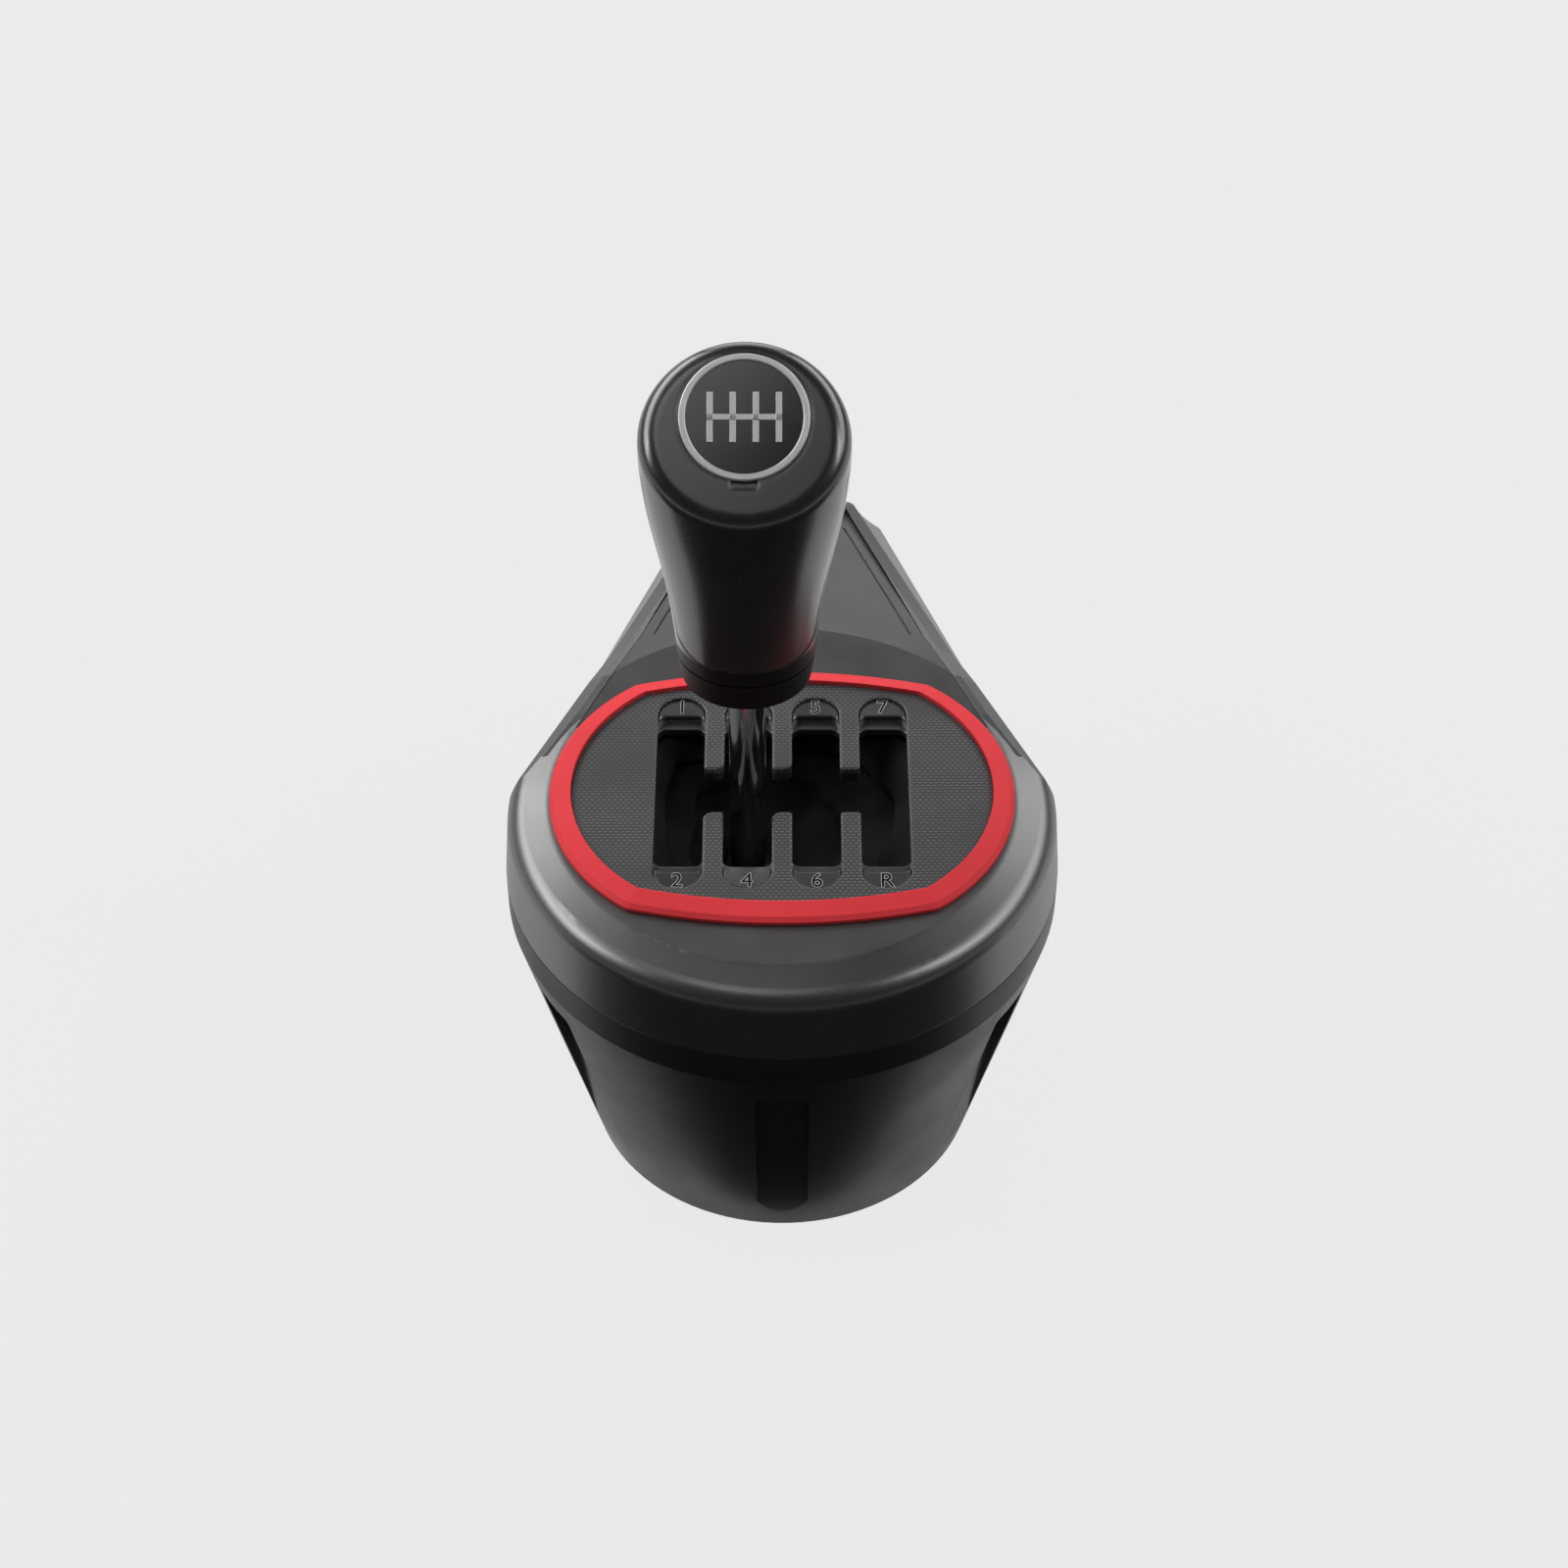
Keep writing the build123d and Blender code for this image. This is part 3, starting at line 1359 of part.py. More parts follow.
# Sensor cap on the yoke's side, round the axle's magnet
with BuildPart() as sensor_cap:
    with BuildSketch(Plane(origin=(lever_x + yoke_outer_x, 0, pivot_z), z_dir=(1, 0, 0))):
        Rectangle(2 * sensor_cap_half_z, 2 * sensor_cap_half_y)
    extrude(amount=sensor_cap_depth)
    with BuildSketch(Plane(origin=(lever_x + yoke_outer_x, 0, pivot_z), z_dir=(1, 0, 0))):
        Circle(sensor_cap_bore)
    extrude(amount=sensor_cap_bore_depth, mode=Mode.SUBTRACT)
sensor_cap.part.label = "sensor_cap"
export_step(sensor_cap.part, "parts/sensor_cap.step")

# Pin that locks the rod in the hub
with BuildPart() as rod_pin:
    with BuildSketch(pin_plane):
        Circle(rod_pin_radius)
    extrude(amount=2 * hub_half)
rod_pin.part.label = "rod_pin"
export_step(rod_pin.part, "parts/rod_pin.step")

# Shift rod, chromed steel
with BuildPart() as shift_rod:
    with BuildSketch(pivot.offset(rod_foot)):
        Circle(rod_radius)
    extrude(amount=rod_high_z - pivot_z - rod_foot)
    chamfer(shift_rod.edges().group_by(Axis.Z)[-1], rod_edge)
    with BuildSketch(pin_plane):
        Circle(rod_pin_radius + running_gap)
    extrude(amount=2 * hub_half, mode=Mode.SUBTRACT)
shift_rod.part.label = "shift_rod"
export_step(shift_rod.part, "parts/shift_rod.step")

# Detent plunger with a round tip
with BuildPart() as detent_plunger:
    with BuildSketch(Plane(origin=(lever_x, 0, pivot_z), x_dir=(1, 0, 0), z_dir=(0, -1, 0))):
        centre = -(plunger_tip - plunger_radius)
        with BuildLine():
            CenterArc((0, centre), plunger_radius, -90, 90)
            Polyline(
                (plunger_radius, centre),
                (plunger_radius, -plunger_top),
                (0, -plunger_top),
                (0, -plunger_tip),
            )
        make_face()
    revolve(axis=Axis((lever_x, 0, pivot_z), (0, 0, 1)))
detent_plunger.part.label = "detent_plunger"
export_step(detent_plunger.part, "parts/detent_plunger.step")

# Spring above the plunger
with BuildPart() as detent_spring:
    add(
        coil(
            (lever_x, 0, pivot_z - plunger_top),
            (0, 0, 1),
            plunger_top - plunger_bore_top,
            detent_spring_radius,
            detent_wire_radius,
            detent_turns,
        )
    )
detent_spring.part.label = "detent_spring"
export_step(detent_spring.part, "parts/detent_spring.step")

# Knob insert: a hub on the rod, with webs that carry the shells
with BuildPart() as knob_insert:
    with BuildSketch(Plane(origin=(lever_x, 0, insert_low_z))):
        Circle(insert_radius)
    extrude(amount=insert_high_z - insert_low_z)
    for level in insert_web_levels:
        with BuildSketch(Plane(origin=(lever_x, 0, level))):
            Ellipse(
                knob_half(level, knob_half_widths) - knob_wall - soft_gap,
                knob_half(level, knob_half_depths) - knob_wall - soft_gap,
            )
        extrude(amount=insert_web)
    with BuildSketch(Plane(origin=(lever_x, 0, insert_low_z))):
        Circle(rod_radius + running_gap)
    extrude(amount=rod_high_z - insert_low_z, mode=Mode.SUBTRACT)
knob_insert.part.label = "knob_insert"
export_step(knob_insert.part, "parts/knob_insert.step")

# Knob collar: the knob's foot, with a fine groove round it
with BuildPart() as knob_collar:
    add(knob_body(0))
    split(bisect_by=Plane.XY.offset(knob_collar_z), keep=Keep.BOTTOM)
    fillet(knob_collar.edges().group_by(Axis.Z)[0], knob_bottom_round)
    with BuildSketch(Plane(origin=(lever_x, 0, knob_groove_z))):
        Ellipse(knob_half_widths[-1], knob_half_widths[-1] - trim_gap)
        Ellipse(
            knob_half(knob_groove_z, knob_half_widths) - knob_groove_depth,
            knob_half(knob_groove_z, knob_half_depths) - knob_groove_depth,
            mode=Mode.SUBTRACT,
        )
    extrude(amount=knob_groove_width, mode=Mode.SUBTRACT)
    with BuildSketch(Plane(origin=(lever_x, 0, knob_low_z))):
        Circle(rod_radius + soft_gap)
    extrude(amount=insert_low_z - knob_low_z, mode=Mode.SUBTRACT)
    with BuildSketch(Plane(origin=(lever_x, 0, insert_low_z))):
        Circle(insert_radius + running_gap)
    extrude(amount=knob_collar_z - insert_low_z, mode=Mode.SUBTRACT)
knob_collar.part.label = "knob_collar"
export_step(knob_collar.part, "parts/knob_collar.step")

# Knob shells: one hollow body, parted behind the front and under the slanted face
with BuildPart() as knob_shell:
    add(knob_body(0))
    rim = knob_shell.faces().sort_by(Axis.Z)[-1].edges()
    fillet(rim, knob_rim_round)
    split(bisect_by=Plane.XY.offset(knob_collar_z), keep=Keep.TOP)
    add(knob_body(knob_wall), mode=Mode.SUBTRACT)

# Rear shell of the knob
with BuildPart() as knob_rear_shell:
    add(knob_shell.part)
    add(knob_rear_region(knob_parting_gap), mode=Mode.INTERSECT)
knob_rear_shell.part.label = "knob_rear_shell"
export_step(knob_rear_shell.part, "parts/knob_rear_shell.step")

# Front shell of the knob, with the slanted face and the cap's pocket
with BuildPart() as knob_front_shell:
    add(knob_shell.part)
    add(knob_rear_region(0), mode=Mode.SUBTRACT)
    with BuildSketch(knob_face.offset(-bezel_depth)):
        with Locations((0, disc_rise)):
            Circle(bezel_radius + running_gap)
    extrude(amount=bezel_depth + overrun, mode=Mode.SUBTRACT)
    with BuildSketch(knob_face.offset(-notch_depth)):
        with Locations((0, disc_rise - bezel_radius)):
            Rectangle(notch_width, 2 * notch_length)
    extrude(amount=notch_depth + overrun, mode=Mode.SUBTRACT)
knob_front_shell.part.label = "knob_front_shell"
export_step(knob_front_shell.part, "parts/knob_front_shell.step")

# Bezel: the bright ring round the cap
with BuildPart() as knob_bezel:
    with BuildSketch(knob_face.offset(-bezel_depth)):
        with Locations((0, disc_rise)):
            Circle(bezel_radius)
            Circle(bezel_radius - bezel_width, mode=Mode.SUBTRACT)
    extrude(amount=bezel_depth + bezel_proud)
    chamfer(knob_bezel.faces().sort_by(Axis(knob_face.origin, knob_face.z_dir))[-1].edges(), bezel_edge)
knob_bezel.part.label = "knob_bezel"
export_step(knob_bezel.part, "parts/knob_bezel.step")

# Cap: the gloss disc inside the bezel
with BuildPart() as knob_cap:
    with BuildSketch(knob_face.offset(-bezel_depth)):
        with Locations((0, disc_rise)):
            Circle(bezel_radius - bezel_width - running_gap)
    extrude(amount=bezel_depth - cap_sink)
knob_cap.part.label = "knob_cap"
export_step(knob_cap.part, "parts/knob_cap.step")

# Socket: round, five pins, held in the seam of the rear wall
with BuildPart() as din_socket:
    with BuildSketch(Plane.XZ.offset(-seam_rear_y)):
        with Locations((0, seam_z)):
            Circle(socket_radius)
    extrude(amount=socket_length)
    chamfer(din_socket.edges().group_by(Axis.Y)[-1], socket_edge)
    with BuildSketch(Plane.XZ.offset(-seam_rear_y)):
        with Locations((0, seam_z)):
            Circle(socket_bore)
    extrude(amount=socket_bore_depth, mode=Mode.SUBTRACT)
    with BuildSketch(Plane.XZ.offset(-seam_rear_y + socket_bore_depth)):
        with Locations((0, seam_z)):
            with PolarLocations(socket_pin_ring, socket_pin_count, start_angle=-90, angular_range=270):
                Circle(socket_pin_radius)
    extrude(amount=-socket_pin_length)
din_socket.part.label = "din_socket"
export_step(din_socket.part, "parts/din_socket.step")

# Pad under the tail, the clamp's upper jaw
with BuildPart() as tail_pad:
    with BuildSketch(Plane.XY.offset(tail_under_z - tail_pad_thickness)):
        with Locations((0, (pad_front_y + pad_rear_y) / 2)):
            RectangleRounded(2 * pad_half_x, pad_rear_y - pad_front_y, clamp_pad_corner)
    extrude(amount=tail_pad_thickness)
tail_pad.part.label = "tail_pad"
export_step(tail_pad.part, "parts/tail_pad.step")

# Rail on the bucket's flat back, which keeps the jaw straight
rail_front = back_flat_y
with BuildPart() as clamp_rail:
    with BuildSketch(Plane.XZ.offset(-rail_front)):
        with Locations((0, (rail_low_z + rail_high_z) / 2)):
            Rectangle(2 * rail_half_x, rail_high_z - rail_low_z)
    extrude(amount=-rail_thickness)
    with BuildSketch(Plane.XZ.offset(-rail_front)):
        with Locations(*[(0, z) for z in rail_screw_levels]):
            Circle(screw_radius + running_gap)
    extrude(amount=-(rail_screw_length - wall + trim_gap), mode=Mode.SUBTRACT)
clamp_rail.part.label = "clamp_rail"
export_step(clamp_rail.part, "parts/clamp_rail.step")

# Screws that hold the rail, from inside the bucket
with BuildPart() as rail_screws:
    for z in rail_screw_levels:
        seat_plane = Plane(origin=(0, back_flat_y - wall, z), z_dir=(0, 1, 0))
        add(screw(seat_plane, rail_screw_length))
rail_screws.part.label = "rail_screws"
export_step(rail_screws.part, "parts/rail_screws.step")

# Bush in the tray's floor, in which the spindle turns
with BuildPart() as clamp_bush:
    with BuildSketch(Plane(origin=(0, spindle_y, tail_under_z - clamp_bush_flange))):
        Circle(clamp_bush_flange_radius)
    extrude(amount=clamp_bush_flange)
    with BuildSketch(Plane(origin=(0, spindle_y, tail_under_z))):
        Circle(clamp_bush_radius)
    extrude(amount=wall)
    with BuildSketch(Plane(origin=(0, spindle_y, tail_under_z - clamp_bush_flange))):
        Circle(spindle_radius + running_gap)
    extrude(amount=clamp_bush_flange + wall, mode=Mode.SUBTRACT)
clamp_bush.part.label = "clamp_bush"
export_step(clamp_bush.part, "parts/clamp_bush.step")

# Spindle of the clamp
with BuildPart() as clamp_spindle:
    with BuildSketch(Plane(origin=(0, spindle_y, spindle_low_z))):
        Circle(spindle_radius)
    extrude(amount=spindle_high_z - spindle_low_z)
    chamfer(clamp_spindle.edges().group_by(Axis.Z)[-1], rod_edge)
clamp_spindle.part.label = "clamp_spindle"
export_step(clamp_spindle.part, "parts/clamp_spindle.step")

# Collar that hangs the spindle on its bush
with BuildPart() as spindle_collar:
    with BuildSketch(Plane(origin=(0, spindle_y, tail_under_z + wall + soft_gap))):
        Circle(spindle_collar_radius)
        Circle(spindle_radius + running_gap, mode=Mode.SUBTRACT)
    extrude(amount=spindle_collar_height)
spindle_collar.part.label = "spindle_collar"
export_step(spindle_collar.part, "parts/spindle_collar.step")

# Hand wheel with finger lobes
with BuildPart() as clamp_wheel:
    with BuildSketch(Plane(origin=(0, spindle_y, wheel_low_z))):
        Circle(wheel_radius)
        with PolarLocations(wheel_radius, wheel_lobes):
            Circle(wheel_lobe_radius)
    extrude(amount=wheel_height)
    chamfer(clamp_wheel.edges().group_by(Axis.Z)[-1], wheel_edge)
    chamfer(clamp_wheel.edges().group_by(Axis.Z)[0], wheel_edge)
    with BuildSketch(Plane(origin=(0, spindle_y, spindle_low_z))):
        Circle(spindle_radius + running_gap)
    extrude(amount=wheel_height, mode=Mode.SUBTRACT)
clamp_wheel.part.label = "clamp_wheel"
export_step(clamp_wheel.part, "parts/clamp_wheel.step")

# Jaw: a nut block that wraps the rail, and the plate that presses under the table
jaw_front_y = back_flat_y + rail_thickness + jaw_slide_gap
flank_front_y = back_flat_y + flank_gap
with BuildPart() as clamp_jaw:
    with BuildSketch(Plane.XY.offset(jaw_low_z)) as block:
        with BuildLine():
            Polyline(
                (rail_half_x + jaw_slide_gap, jaw_front_y),
                (rail_half_x + jaw_slide_gap, flank_front_y),
                (jaw_half_x, flank_front_y),
                (jaw_half_x, jaw_back_y),
                (-jaw_half_x, jaw_back_y),
                (-jaw_half_x, flank_front_y),
                (-rail_half_x - jaw_slide_gap, flank_front_y),
                (-rail_half_x - jaw_slide_gap, jaw_front_y),
                close=True,
            )
        make_face()
    extrude(amount=jaw_high_z - jaw_low_z)
    with BuildSketch(Plane.XY.offset(arm_plate_low_z)) as plate:
        with BuildLine():
            Polyline(
                (-arm_plate_half_x, jaw_back_y - jaw_corner),
                (arm_plate_half_x, jaw_back_y - jaw_corner),
                (arm_plate_half_x, arm_plate_end_y),
                (-arm_plate_half_x, arm_plate_end_y),
                close=True,
            )
        make_face()
        fillet(plate.vertices(), arm_plate_corner / 2)
    extrude(amount=arm_plate_high_z - arm_plate_low_z)
    with BuildSketch(Plane(origin=(0, spindle_y, jaw_low_z))):
        Circle(spindle_radius + running_gap)
    extrude(amount=jaw_high_z - jaw_low_z, mode=Mode.SUBTRACT)
clamp_jaw.part.label = "clamp_jaw"
export_step(clamp_jaw.part, "parts/clamp_jaw.step")

# Pad on the jaw's plate
with BuildPart() as jaw_pad:
    with BuildSketch(Plane.XY.offset(arm_plate_high_z)):
        with Locations((0, (pad_front_y + pad_rear_y) / 2)):
            RectangleRounded(2 * pad_half_x, pad_rear_y - pad_front_y, clamp_pad_corner)
    extrude(amount=pad_thickness)
jaw_pad.part.label = "jaw_pad"
export_step(jaw_pad.part, "parts/jaw_pad.step")
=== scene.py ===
import json
import math

import bpy
import numpy as np
from mathutils import Euler, Matrix, Vector


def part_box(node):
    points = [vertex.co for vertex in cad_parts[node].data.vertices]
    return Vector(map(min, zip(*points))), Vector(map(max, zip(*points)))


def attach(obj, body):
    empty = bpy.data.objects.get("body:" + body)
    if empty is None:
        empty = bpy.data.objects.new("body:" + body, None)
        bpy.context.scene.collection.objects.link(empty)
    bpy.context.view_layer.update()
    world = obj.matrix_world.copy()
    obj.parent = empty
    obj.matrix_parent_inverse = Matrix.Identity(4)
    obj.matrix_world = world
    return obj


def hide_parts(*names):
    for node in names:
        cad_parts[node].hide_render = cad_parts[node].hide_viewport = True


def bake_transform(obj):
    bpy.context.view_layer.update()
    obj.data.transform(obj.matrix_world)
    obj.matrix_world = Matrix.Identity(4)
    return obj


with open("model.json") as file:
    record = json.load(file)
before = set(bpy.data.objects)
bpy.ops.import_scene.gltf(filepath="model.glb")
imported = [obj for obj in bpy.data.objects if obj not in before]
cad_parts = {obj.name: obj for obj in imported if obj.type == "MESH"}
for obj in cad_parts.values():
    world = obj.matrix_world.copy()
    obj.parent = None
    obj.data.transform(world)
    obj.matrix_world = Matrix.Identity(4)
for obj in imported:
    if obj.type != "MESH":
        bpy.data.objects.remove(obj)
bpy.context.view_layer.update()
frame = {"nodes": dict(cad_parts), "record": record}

# Gear shifter with a bucket-shaped housing, red gate trim and a tall knob on a chromed rod.
# Metres, X to the driver's right, Y towards the tail, Z up.
MM = 0.001

# Camera, found from the photograph's outlines
CAMERA_PLACE = (0.523 * MM, -680.43 * MM, 763.22 * MM)
CAMERA_DOWN = 43.472
CAMERA_LENS = 81.0
CAMERA_SENSOR = 36.0

# Values of the model that the dressed pieces follow: the lever's place, the number pads' height
# and places, and the knob's face with its cap, moved along the face and sunk into it
lever_x = sum(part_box("shift_rod")[i].x for i in (0, 1)) / 2
pad_z = 115.2 * MM
column_pitch = 18.2 * MM
digit_y = 33.4 * MM
face_tilt = math.radians(35.3)
face_z = 239.2 * MM
cap_shift = 1.1 * MM
cap_sink = 0.15 * MM


def obj_from_mesh(name, verts, faces, smooth=True):
    """Object whose mesh has these vertices and faces, with its place in the mesh."""
    mesh = bpy.data.meshes.new(name)
    points = np.asarray(verts).reshape(-1, 3)
    mesh.from_pydata([tuple(v) for v in points], [], [tuple(f) for f in faces])
    mesh.update()
    obj = bpy.data.objects.new(name, mesh)
    bpy.context.scene.collection.objects.link(obj)
    mesh.polygons.foreach_set("use_smooth", [smooth] * len(mesh.polygons))
    return obj


def grid_faces(rows, cols, closed):
    """Quads of a grid with rows by cols points, closed round its columns or open.

    Point (i, j) has the number i * cols + j, and a quad goes to the next point of each kind."""
    i, j = np.meshgrid(np.arange(rows - 1), np.arange(cols if closed else cols - 1), indexing="ij")
    k = (j + 1) % cols
    quads = np.stack([i * cols + j, i * cols + k, (i + 1) * cols + k, (i + 1) * cols + j], -1)
    return quads.reshape(-1, 4)


# Node groups

def new_group(name, inputs, outputs):
    """Shader group with named sockets: its tree, its input node and its output node."""
    tree = bpy.data.node_groups.new(name, "ShaderNodeTree")
    for label, kind, value in inputs:
        socket = tree.interface.new_socket(label, in_out="INPUT", socket_type=kind)
        if value is not None:
            socket.default_value = value
    for label, kind in outputs:
        tree.interface.new_socket(label, in_out="OUTPUT", socket_type=kind)
    return tree, tree.nodes.new("NodeGroupInput"), tree.nodes.new("NodeGroupOutput")


def math_node(tree, operation, *values):
    """Output of a Math node that works on sockets and plain numbers."""
    node = tree.nodes.new("ShaderNodeMath")
    node.operation = operation
    for socket, value in zip(node.inputs, values):
        if isinstance(value, (int, float)):
            socket.default_value = value
        else:
            tree.links.new(value, socket)
    return node.outputs[0]


def noise_node(tree, vector, scale, detail, roughness=0.5):
    """Noise texture's value at a scale, which is a number or a socket."""
    node = tree.nodes.new("ShaderNodeTexNoise")
    node.inputs["Detail"].default_value = detail
    node.inputs["Roughness"].default_value = roughness
    tree.links.new(vector, node.inputs["Vector"])
    if isinstance(scale, (int, float)):
        node.inputs["Scale"].default_value = scale
    else:
        tree.links.new(scale, node.inputs["Scale"])
    return node.outputs["Fac"]


def ramp_value(tree, value, low, high, to_low=0.0, to_high=1.0):
    """Value mapped from low..high to to_low..to_high, clamped."""
    node = tree.nodes.new("ShaderNodeMapRange")
    for label, number in zip(("From Min", "From Max", "To Min", "To Max"), (low, high, to_low, to_high)):
        node.inputs[label].default_value = number
    tree.links.new(value, node.inputs["Value"])
    return node.outputs["Result"]


# Grain: usual scales of the grain and its patches, how deep the cells cut, and detail and
# roughness of the fine noise and the patches
GRAIN_SCALE = 2400.0
PATCH_SCALE = 30.0
CELL_DEPTH = -0.6
FINE_NOISE = (2.0, 0.6)
PATCH_NOISE = (3.0, 0.55)


def make_grain():
    """Moulded grain: fine rounded bumps, and a slow unevenness of colour and gloss.

    The height is fine noise, less a share of the distance to the middle of the nearest cell."""
    tree, source, sink = new_group(
        "moulded_grain",
        [("Vector", "NodeSocketVector", None), ("Grain Scale", "NodeSocketFloat", GRAIN_SCALE),
         ("Patch Scale", "NodeSocketFloat", PATCH_SCALE)],
        [("Height", "NodeSocketFloat"), ("Patch", "NodeSocketFloat")],
    )
    place = source.outputs["Vector"]
    cells = tree.nodes.new("ShaderNodeTexVoronoi")
    tree.links.new(place, cells.inputs["Vector"])
    tree.links.new(source.outputs["Grain Scale"], cells.inputs["Scale"])
    fine = noise_node(tree, place, source.outputs["Grain Scale"], *FINE_NOISE)
    height = math_node(tree, "MULTIPLY_ADD", cells.outputs["Distance"], CELL_DEPTH, fine)
    patch = noise_node(tree, place, source.outputs["Patch Scale"], *PATCH_NOISE)
    tree.links.new(height, sink.inputs["Height"])
    tree.links.new(patch, sink.inputs["Patch"])
    return tree


# Pips: half length and half width as shares of their pitch, how square they are, and the reach
# at which their edge is low and at which it is high
PIP_HALF_X = 0.36
PIP_HALF_Y = 0.24
PIP_SQUARE = 3.0
PIP_EDGE = (1.5, 0.4)


def make_weave():
    """Staggered rows of short raised pips, as pressed into the gate's cover.

    A point's reach is its distance from the pip's middle over the pip's half size, along and
    across, each to a power and added up. The pip is high where the reach is small."""
    tree, source, sink = new_group(
        "pressed_weave",
        [("Vector", "NodeSocketVector", None), ("Pitch X", "NodeSocketFloat", 1.2 * MM),
         ("Pitch Y", "NodeSocketFloat", 1.2 * MM)],
        [("Height", "NodeSocketFloat"), ("Mask", "NodeSocketFloat")],
    )
    split = tree.nodes.new("ShaderNodeSeparateXYZ")
    tree.links.new(source.outputs["Vector"], split.inputs[0])
    row = math_node(tree, "DIVIDE", split.outputs["Y"], source.outputs["Pitch Y"])
    row_number = math_node(tree, "FLOOR", row)
    shift = math_node(tree, "MULTIPLY", math_node(tree, "MODULO", row_number, 2.0), 0.5)
    straight = math_node(tree, "DIVIDE", split.outputs["X"], source.outputs["Pitch X"])
    column = math_node(tree, "ADD", straight, shift)
    terms = []
    for cell, half in ((column, PIP_HALF_X), (row, PIP_HALF_Y)):
        offset = math_node(tree, "SUBTRACT", math_node(tree, "FRACT", cell), 0.5)
        share = math_node(tree, "DIVIDE", math_node(tree, "ABSOLUTE", offset), half)
        terms.append(math_node(tree, "POWER", share, PIP_SQUARE))
    mask = ramp_value(tree, math_node(tree, "ADD", *terms), *PIP_EDGE)
    tree.links.new(mask, sink.inputs["Height"])
    tree.links.new(mask, sink.inputs["Mask"])
    return tree


# Cloth: detail and height of its fluff, and the painted shade between its threads and highlight on them
FLUFF_DETAIL = 3.0
FLUFF_HEIGHT = 0.6
THREAD_PAINTED_SHADE = (0.7, 1.25)


def make_cloth():
    """Plain weave of warp and weft threads along the piece's own UV map, with loose fluff.

    The height is the product of two sines, one for each run of threads, plus a share of noise."""
    tree, source, sink = new_group(
        "cloth_weave",
        [("Vector", "NodeSocketVector", None), ("Threads", "NodeSocketFloat", 1.0)],
        [("Height", "NodeSocketFloat"), ("Shade", "NodeSocketFloat")],
    )
    split = tree.nodes.new("ShaderNodeSeparateXYZ")
    tree.links.new(source.outputs["Vector"], split.inputs[0])
    waves = []
    for axis in ("X", "Y"):
        count = math_node(tree, "MULTIPLY", split.outputs[axis], source.outputs["Threads"])
        waves.append(math_node(tree, "SINE", math_node(tree, "MULTIPLY", count, math.tau)))
    height = math_node(tree, "MULTIPLY", waves[0], waves[1])
    fluff = noise_node(tree, source.outputs["Vector"], source.outputs["Threads"], FLUFF_DETAIL)
    tree.links.new(math_node(tree, "MULTIPLY_ADD", fluff, FLUFF_HEIGHT, height), sink.inputs["Height"])
    # Painted shade: darker between the threads and lighter on them, following the height
    tree.links.new(ramp_value(tree, height, -1.0, 1.0, *THREAD_PAINTED_SHADE), sink.inputs["Shade"])
    return tree


GRAIN = make_grain()
WEAVE = make_weave()
CLOTH = make_cloth()


# Materials

# Edges softened in shading: samples, and the usual radius
BEVEL_SAMPLES = 6
EDGE = 0.25 * MM
# Noise values at which a patch or a mark is low and at which it is high
NOISE_SPREAD = (0.3, 0.7)
# Marks in brushed metal: scale, detail and roughness of their noise, their swing in colour, and
# the shares of the metal's roughness that they go between
MARK_NOISE = (1.0, 4.0, 0.6)
MARK_TINT = 0.15
MARK_GLOSS = (0.7, 1.3)
# The gate's pressed cover: COVER_FADE holds the patch noise where the pips are faint and where
# they are full, and their shares there, and COVER_GLOSS the roughness between pips and on them
COVER_COLOUR = (0.082, 0.082, 0.084)
COVER_ROUGHNESS = 0.42
COVER_SPECULAR = 0.4
COVER_PITCH = (1.5 * MM, 1.1 * MM)
COVER_GRAIN = 1800.0
COVER_PATCH = 45.0
COVER_FADE = (0.35, 0.6, 0.35, 1.0)
COVER_TINT = 0.5
COVER_GLOSS = (0.46, 0.34)
COVER_GRAIN_HEIGHT = 0.15
# Strength and depth of the bump
COVER_BUMP = (0.8, 0.1 * MM)
# The boot's cloth, with its bump in the same way
CLOTH_COLOUR = (0.006, 0.006, 0.0065)
CLOTH_ROUGHNESS = 0.65
CLOTH_SPECULAR = 0.12
CLOTH_TINT = 0.5
CLOTH_BUMP = (0.5, 0.15 * MM)


def start_material(name, colour, roughness, metallic, specular):
    """Material with its shader's plain values set: the material, its tree and the shader."""
    material = bpy.data.materials.new(name)
    material.use_nodes = True
    tree = material.node_tree
    shader = tree.nodes["Principled BSDF"]
    shader.inputs["Base Color"].default_value = (*colour, 1.0)
    shader.inputs["Roughness"].default_value = roughness
    shader.inputs["Metallic"].default_value = metallic
    shader.inputs["Specular IOR Level"].default_value = specular
    return material, tree, shader


def place_group(tree, group, vector, **values):
    """Group node in a material, fed with the vector and with its own values."""
    node = tree.nodes.new("ShaderNodeGroup")
    node.node_tree = group
    tree.links.new(vector, node.inputs["Vector"])
    for label, value in values.items():
        node.inputs[label.replace("_", " ")].default_value = value
    return node


def tint(tree, shader, colour, factor, swing):
    """Base colour that is lighter or darker by a swing where the factor is high or low."""
    mix = tree.nodes.new("ShaderNodeMix")
    mix.data_type = "RGBA"
    mix.inputs["A"].default_value = (*[c * (1 - swing) for c in colour], 1.0)
    mix.inputs["B"].default_value = (*[min(1.0, c * (1 + swing)) for c in colour], 1.0)
    tree.links.new(factor, mix.inputs["Factor"])
    tree.links.new(mix.outputs["Result"], shader.inputs["Base Color"])


def bump(tree, shader, height, strength, depth, edge):
    """Bump of a depth in metres on the shader's normal, over edges softened by a radius."""
    node = tree.nodes.new("ShaderNodeBump")
    soft = tree.nodes.new("ShaderNodeBevel")
    soft.samples = BEVEL_SAMPLES
    soft.inputs["Radius"].default_value = edge
    tree.links.new(soft.outputs["Normal"], node.inputs["Normal"])
    node.inputs["Strength"].default_value = strength
    node.inputs["Distance"].default_value = depth
    tree.links.new(height, node.inputs["Height"])
    tree.links.new(node.outputs["Normal"], shader.inputs["Normal"])


